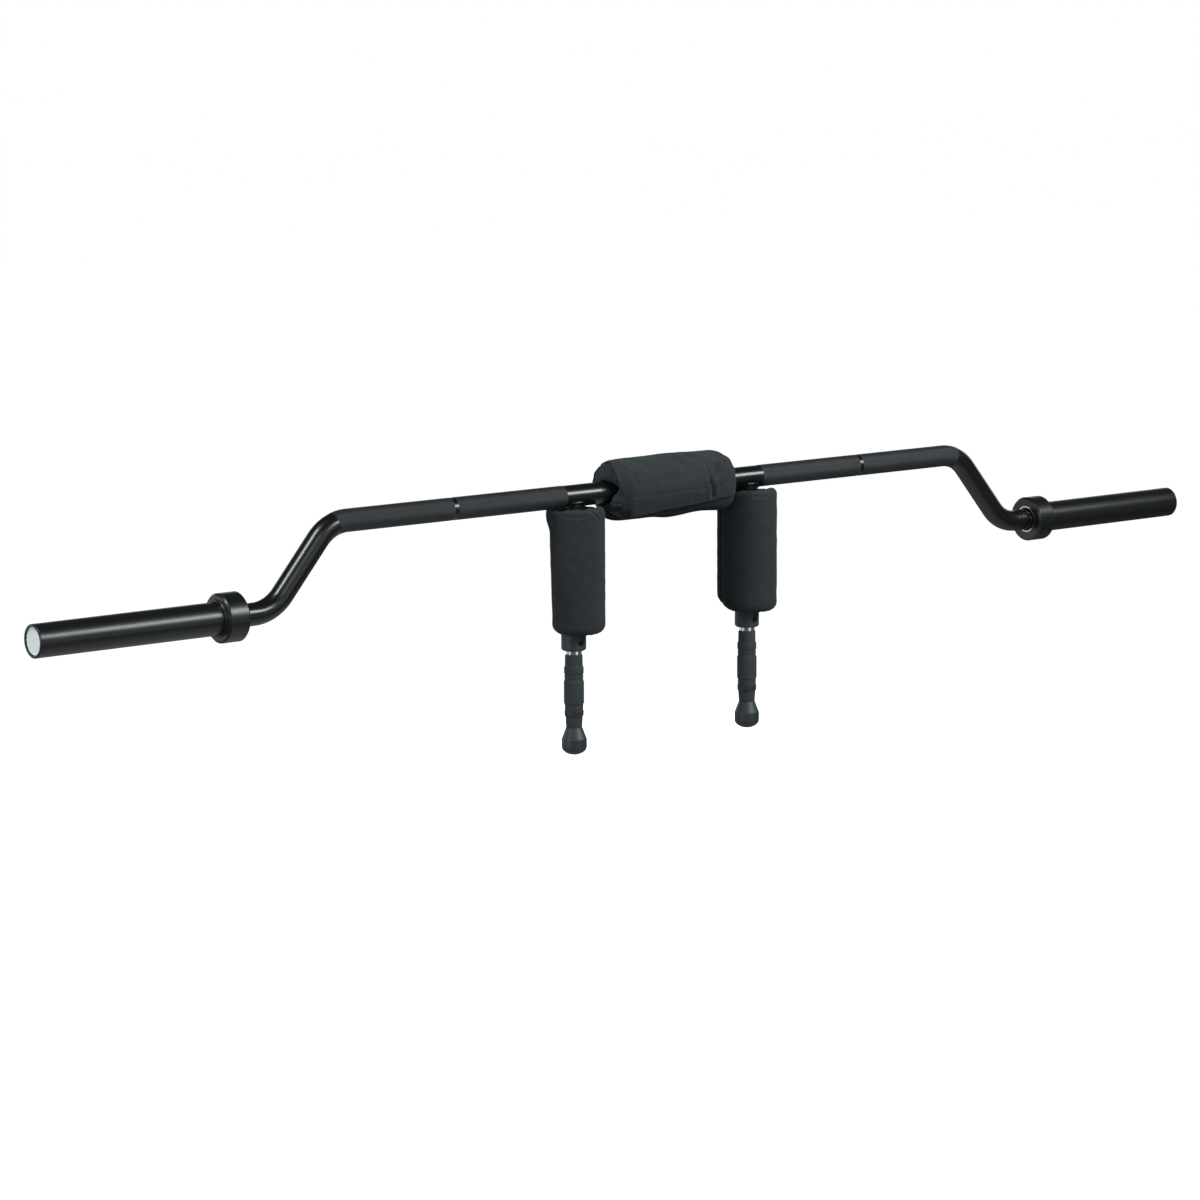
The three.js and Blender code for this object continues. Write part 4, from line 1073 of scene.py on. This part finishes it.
def roll_rows():
    """The roll's rings from left to right: place along the bar, radius and pin weight."""
    rows = [(NECK_FROM + 20, NECK_MOUTH, 1.0), (NECK_FROM + 8, NECK_MOUTH, 1.0)]
    for share in (0.2, 0.4, 0.6, 0.8):
        rows.append((NECK_FROM + 7 - 6 * share, NECK_MOUTH + share * (SKIN_R - LEFT_ROUND - NECK_MOUTH), 0.0))
    for turn_by in np.linspace(0, QUARTER, 8):
        rows.append((NECK_FROM + 1 + LEFT_ROUND * (1 - math.cos(turn_by)),
                     SKIN_R - LEFT_ROUND * (1 - math.sin(turn_by)), 0.0))
    for x in np.linspace(NECK_FROM + 1 + LEFT_ROUND, NECK_TO - RIGHT_ROUND, 64)[1:-1]:
        rows.append((x, SKIN_R, 0.0))
    for turn_by in np.linspace(QUARTER, 0, 9):
        rows.append((NECK_TO - RIGHT_ROUND * (1 - math.cos(turn_by)),
                     SKIN_R - RIGHT_ROUND * (1 - math.sin(turn_by)), 0.0))
    for share in (0.8, 0.6, 0.4, 0.2):
        rows.append((NECK_TO - 7 + 6 * share, NECK_MOUTH + share * (SKIN_R - RIGHT_ROUND - NECK_MOUTH), 0.0))
    return rows + [(NECK_TO - 8, NECK_MOUTH, 1.0), (NECK_TO - 20, NECK_MOUTH, 1.0)]


END_FOLDS = (
    ([(-14, 44), (-6, 32), (-1, 20)], 2.4, 3.0), ([(-28, 36), (-34, 24), (-36, 12)], 2.4, 2.4),
    ([(6, 44), (12, 34), (16, 24)], 2.6, 2.0), ([(20, -2), (27, -10), (27, -24)], 2.2, 3.0),
    ([(2, -20), (12, -30), (26, -38)], 2.4, 2.8), ([(16, -12), (26, -20), (36, -20)], 2.0, 2.2),
    ([(-10, -24), (-12, -34), (-8, -42)], 2.4, 2.0),
)


def neck_roll():
    """The swelled and creased cover of the neck roll."""
    rings, held, runs = [], [], [0.0]
    rows = roll_rows()
    for x, radius, pin in rows:
        share = ease(NECK_MOUTH, SKIN_R - 12, radius)
        front, high = roll_section(ROUND_ANGLES, radius)
        front = share * front + (1 - share) * radius * np.cos(ROUND_ANGLES)
        high = share * high + (1 - share) * radius * np.sin(ROUND_ANGLES)
        rings.append(np.stack([np.full(128, x), -front, high], axis=1) * MM)
        held += [pin] * 128
    for before, after in zip(rows, rows[1:]):
        runs.append(runs[-1] + math.hypot(after[0] - before[0], after[1] - before[1]) * MM)
    piece = ring_skin("neck_roll", rings, np.array(runs))
    puff(piece, held, 0.03, 4.5 * MM)
    soften(piece)
    points = places(piece)
    x, front, high = points[:, 0] / MM, -points[:, 1] / MM, points[:, 2] / MM
    radius, angle = np.hypot(front, high), np.degrees(np.arctan2(high, front))
    turn_by = np.radians(angle)

    # At the left end the cover is longer than the foam. Its mouth reaches along the top of the bar and
    # under it, and draws back at the front, so the end panel is a slanting cone in soft folds.
    at_left = 1 - ease(NECK_FROM + 6, NECK_FROM + 22, x)
    reach = np.interp(angle, (-180, -120, -90, -50, -18, 0, 21, 40, 60, 84, 130, 180),
                      (8, 12, 15, 16, 14, 6, 0, 6, 13, 19, 14, 8))
    slant = reach * (1 - ease(18, 44, radius))
    bulge = 2.0 * np.exp(-((radius - 33) / 8) ** 2)
    pleats = 0.8 * np.sin(turn_by * 11 + 3 * wobble(points, 45, 5)) * ease(19, 26, radius)
    for line in END_FOLDS:
        pleats -= crease(front, high, *line)
    points[:, 0] -= at_left * (slant + bulge + pleats * ease(18.5, 24, radius)) * MM

    # In front the cover dips just outside the flap's left edge, which casts a dark line there.
    dip = 4.0 * np.exp(-((x - NECK_FROM - 4) / 7) ** 2) * np.exp(-(apart(angle, -22) / 34) ** 2)
    dip *= ease(30, 40, radius)
    points[:, 1] += dip * np.cos(turn_by) * MM
    points[:, 2] -= dip * np.sin(turn_by) * MM
    at_right = ease(NECK_TO - 12, NECK_TO + 2, x)
    points[:, 0] += at_right * ease(18.5, 24, radius) * np.sin(turn_by * 15 + 2 * wobble(points, 40, 7)) * MM

    # Long soft waves on the body, mostly along its underside, where the cover is slack.
    under = np.exp(-(apart(angle, -95) / 38) ** 2)
    push = 0.5 * wobble(points, 28, 11) + under * 2.0 * np.sin(x / 17 + 0.8) * ease(-80, 0, x)
    push *= ease(24, 34, radius) * (1 - at_left)
    outwards = np.stack([-front, high], axis=1) / np.maximum(radius, 1e-6)[:, None]
    points[:, 1:] += outwards * push[:, None] * MM
    put(piece, points)
    return piece


neck = neck_roll()
pad_piece(neck, "neck_pad_cover", "neck_pad_foam")

# %% [markdown]
# ### Flaps, hook tapes and stitches
# Each cover closes with a flap over hook tape. The neck flap wraps over the top to the lower front. Its
# left end hangs past the foam and droops towards the bar, its lower hem tapers to the right, and a
# stitched line runs along the top of the hem. The shoulder pads' flaps are on their inner back side.

# %% Wrapped sheets
RAY_FROM = 0.09


def wrapped(name, rows, cols, point_at, thickness, around, along):
    """A sheet on a grid, in metres: point_at(s, t) gives a place for shares 0 to 1."""
    points = [point_at(s, t) for s in np.linspace(0, 1, rows) for t in np.linspace(0, 1, cols)]
    faces = [(r * cols + c, (r + 1) * cols + c, (r + 1) * cols + c + 1, r * cols + c + 1)
             for r in range(rows - 1) for c in range(cols - 1)]
    uv = [((c + dc) / (cols - 1) * around, (r + dr) / (rows - 1) * along) for r in range(rows - 1)
          for c in range(cols - 1) for dr, dc in ((0, 0), (1, 0), (1, 1), (0, 1))]
    piece = new_piece(name, points, faces, uv)
    apply(piece, "SOLIDIFY", thickness=thickness, offset=1.0)
    round_edges(piece, 0.3 * thickness, 50)
    bpy.ops.object.shade_smooth()
    return piece


def surface_of(piece):
    """A tree that finds where a ray meets the piece."""
    return BVHTree.FromObject(piece, bpy.context.evaluated_depsgraph_get())


def knots(value, stops, values):
    """The value on a line with straight stretches between its knots."""
    return float(np.interp(value, stops, values))


neck_surface = surface_of(neck)


def roll_radius(x, angle):
    """The roll's radius in millimetres at a place along it and an angle in degrees."""
    way = Vector((0, -math.cos(math.radians(angle)), math.sin(math.radians(angle))))
    start = Vector((x * MM, 0, 0))
    hit = neck_surface.ray_cast(start + way * 0.08, -way)
    return (hit[0] - start).length / MM if hit[0] else NECK_R


def on_roll(x, angle, radius):
    """A place in metres, from millimetres along the roll, degrees round it and millimetres out."""
    turn_by = math.radians(angle)
    return Vector((x * MM, -radius * math.cos(turn_by) * MM, radius * math.sin(turn_by) * MM))


# The flap's outline. Angles are in degrees from the front, over the top. The left edge droops.
FLAP_BACK = math.degrees(2.2)
LEFT_EDGE_ANGLES = (-60, -46, -32, -14, 6, 26, 45, 64, 80, 95, 126)
LEFT_EDGE_X = (-90, -91, -95, -100, -107, -112, -112, -109, -105, -102, -100)
LEFT_EDGE_RADIUS = (49, 49, 46, 41, 39.5, 39.5, 40.5, 42, 44.5, 47, 47.5)
RIGHT_EDGE_X, RIGHT_EDGE_RADIUS = 118.0, 42.0
FLAP_LIFT, FLAP_THICK = 1.8, 1.5

# Creases near the right end, then soft diagonals on top.
FLAP_FOLDS = (
    ([(60, 22), (60, 9), (64, -4), (67, -15)], 4.2, 2.6), ([(82, 30), (76, 20), (66, 12), (59, 7)], 4.2, 2.0),
    ([(112, 30), (102, 18), (92, 8)], 4.4, 1.6), ([(36, 56), (50, 42), (64, 30), (78, 20)], 7.0, 2.0),
    ([(4, 60), (18, 42), (30, 30)], 9.0, 1.3), ([(-78, 66), (-64, 50), (-46, 38)], 7.0, 1.4),
    ([(-30, 16), (-6, 12), (20, 20)], 8.0, 0.9), ([(-98, 42), (-90, 30), (-86, 14)], 3.6, 1.2),
)


def flap_angle(s, t):
    """The angle on the flap: t runs from the lower front edge to the back edge, s from left to right."""
    lower = knots(s, (0, 0.22, 0.29, 0.53, 0.77, 1), (-46, -41, -38.5, -34, -27, -20))
    return lower + t * (FLAP_BACK - lower)


def flap_folds(x, angle):
    """Folds of the flap in millimetres outwards."""
    lines = creases(np.array([float(x)]), np.array([NECK_R * math.radians(angle)]), FLAP_FOLDS)
    place = Vector((x * 0.02, angle * 0.03, 1.7))
    return float(lines[0]) + 0.55 * noise.noise(place) + 0.25 * noise.noise(place * 3)


def hem_angle(s):
    """The angle of the hem's stitched line."""
    return knots(s, (0, 0.22, 0.5, 0.76, 1), (-6.5, -5.4, -2.4, -2.6, 0))


def neck_flap_point(s, t, lift=FLAP_LIFT):
    """A point of the neck flap in metres."""
    angle = flap_angle(s, t)
    left = knots(angle, LEFT_EDGE_ANGLES, LEFT_EDGE_X)
    x = left + s * (RIGHT_EDGE_X - left)
    body = roll_radius(min(max(x, -92), 100), angle) + lift
    over_left = 1 - ease(left, -92, x) if x < -92 else 0.0
    over_right = ease(103, RIGHT_EDGE_X + 1, x) ** 1.3
    radius = body + over_left * (knots(angle, LEFT_EDGE_ANGLES, LEFT_EDGE_RADIUS) - body)
    radius += over_right * (RIGHT_EDGE_RADIUS - body)
    hem = NECK_R * math.radians(angle - hem_angle(s))
    stitched = -0.7 * math.exp(-(hem / 1.3) ** 2) + 0.5 * float(ease(0, 4, -hem))
    edge = t * (FLAP_BACK - flap_angle(s, 0)) * NECK_R * math.pi / 180
    curl = 1.4 * math.exp(-(edge / 5) ** 2) * (0.6 + 0.4 * math.sin(14 * s))
    free = 1 - 0.6 * over_left
    radius += (flap_folds(x, angle) + stitched) * free + curl
    return on_roll(x, angle, radius)


NECK_FLAP_SIZE = (0.139, 0.223)
neck_flap = wrapped("neck_wrap_flap", 190, 150, neck_flap_point, FLAP_THICK * MM, *NECK_FLAP_SIZE)
dress(neck_flap, "bar", "pad_fabric", cover_cloth)
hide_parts("neck_pad_flap")


def neck_tape_point(s, t):
    """A point of the hook tape under the flap's front hem."""
    x = NECK_FROM + 12 + s * (NECK_TO - NECK_FROM - 28)
    angle = flap_angle(s, 0) + 4 + t * 32
    return on_roll(x, angle, roll_radius(x, angle) + 0.3)


neck_tape = wrapped("neck_hook_tape", 80, 12, neck_tape_point, 1.1 * MM, 0.026, 0.2)
dress(neck_tape, "bar", "hook_tape", hook_cloth)
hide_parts("neck_pad_hook_strip")


def on_pad(surface, way, drop, turn_by):
    """A place on a pad's skin below its top, turned from its inner back side, and the way out there."""
    angle = math.atan2(math.sin(PAD_LEAN), -way * math.cos(PAD_LEAN)) + turn_by
    out = Vector((math.cos(angle), math.sin(angle), 0))
    axis = Vector((way * (ARM_AT - PAD_INWARD), -PAD_FORWARD, 0)) * MM
    start = axis + Vector((0, 0, -PAD_TOP - drop)) * MM
    return surface.ray_cast(start + out * RAY_FROM, -out)[0] or start, out


def pad_sheet(name, pad, way, width, margin, lift, thickness, rows, cols):
    """A sheet on the inner back side of a shoulder pad, a margin away from its top and its foot."""
    surface, length = surface_of(pad), PAD_LONG - 2 * margin

    def point_at(s, t):
        place, out = on_pad(surface, way, margin + s * length, (t - 0.5) * width / PAD_LONG_R)
        over_tape = float(ease(0.02, 0.2, min(t, 1 - t, 4 * s, 4 - 4 * s)))
        return place + out * (0.3 + (lift - 0.3) * over_tape) * MM

    return wrapped(name, rows, cols, point_at, thickness * MM, width * MM, length * MM)


flaps = []
for side, way in SIDES:
    pad = bpy.data.objects[side + "_shoulder_pad"]
    flap = pad_sheet(side + "_closing_flap", pad, way, 48, 14, 1.9, 1.4, 110, 30)
    tape = pad_sheet(side + "_hook_tape", pad, way, 25, 16, 0.3, 1.1, 90, 12)
    dress(flap, "bar", "pad_fabric", cover_cloth)
    dress(tape, "bar", "hook_tape", hook_cloth)
    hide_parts(side + "_pad_flap")
    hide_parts(side + "_pad_hook_strip")
    flaps.append((side, way, pad, flap, tape))
print("flaps made")

# %% [markdown]
# The flaps are hemmed with a lock stitch in black thread. Each stitch is a short rounded bead that dips into
# the cloth at both ends, and every row keeps the same pitch along the sheet.

# %% Stitches
STITCH_PITCH, STITCH_LONG, THREAD_R = 3.4, 2.7, 0.32

# The five rings of a stitch: place as a share of half its length, then width and height as shares of the
# thread's radius.
STITCH_RINGS = ((-1, 0.15, -0.25), (-0.6, 0.9, 0.12), (0, 1.0, 0.25), (0.6, 0.9, 0.12), (1, 0.15, -0.25))
RING_SIDES = 6


def stitched_row(name, at, length):
    """Stitches along a curve in millimetres: at(share) gives a place on the cloth and the way out of it."""
    count = int(length / STITCH_PITCH)
    half = 0.5 * STITCH_LONG / length
    points, faces = [], []
    for k in range(count):
        start = len(points)
        for offset, width, height in STITCH_RINGS:
            share = min(max((k + 0.5) / count + offset * half, 0), 1)
            here, out = at(share)
            ahead = (at(min(share + half, 1))[0] - at(max(share - half, 0))[0]).normalized()
            across = ahead.cross(out).normalized()
            for turn_by in np.linspace(0, 2 * math.pi, RING_SIDES + 1)[:-1]:
                bead = across * math.cos(turn_by) * width + out * (math.sin(turn_by) * width + height)
                points.append(here + bead * THREAD_R * MM)
        for ring in range(start, len(points) - RING_SIDES, RING_SIDES):
            for i in range(RING_SIDES):
                after = (i + 1) % RING_SIDES
                faces.append((ring + i, ring + after, ring + RING_SIDES + after, ring + RING_SIDES + i))
        ends = range(start, start + RING_SIDES), range(len(points) - RING_SIDES, len(points))
        faces += [tuple(reversed(ends[0])), tuple(ends[1])]
    row = new_piece(name, points, faces)
    bpy.ops.object.shade_smooth()
    return row


def neck_row(name, t_at, s_at, length):
    """A row on the neck flap, from shares of its grid."""
    def at(share):
        turn_by = math.radians(flap_angle(s_at(share), t_at(share)))
        out = Vector((0, -math.cos(turn_by), math.sin(turn_by)))
        return neck_flap_point(s_at(share), t_at(share), FLAP_LIFT + FLAP_THICK), out
    return stitched_row(name, at, length)


def hem_t(s):
    """The share across the flap at which the hem line runs."""
    lower = flap_angle(s, 0)
    return (hem_angle(s) - lower) / (FLAP_BACK - lower)


rows = [neck_row("neck_hem_stitches", hem_t, lambda share: 0.02 + 0.96 * share, 216),
        neck_row("neck_edge_stitches", lambda share: 0.024, lambda share: 0.02 + 0.96 * share, 212),
        neck_row("neck_side_stitches", lambda share: 0.03 + 0.9 * share, lambda share: 0.022, 125)]
STITCH_MARGIN, STITCH_EDGE = 17, 20.5
stitched = PAD_LONG - 2 * STITCH_MARGIN
for side, way, pad, flap, tape in flaps:
    surface = surface_of(flap)
    for number, edge in enumerate((-STITCH_EDGE, STITCH_EDGE)):
        def at(share):
            """A place on the outer face of the flap, and the way out."""
            return on_pad(surface, way, STITCH_MARGIN + share * stitched, edge / PAD_LONG_R)

        rows.append(stitched_row("{}_flap_stitches_{}".format(side, number + 1), at, stitched))
for row in rows:
    dress(row, "bar", "pad_fabric", thread)
for number, (side, way, pad, flap, tape) in enumerate(flaps):
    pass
print("stitched rows", len(rows))
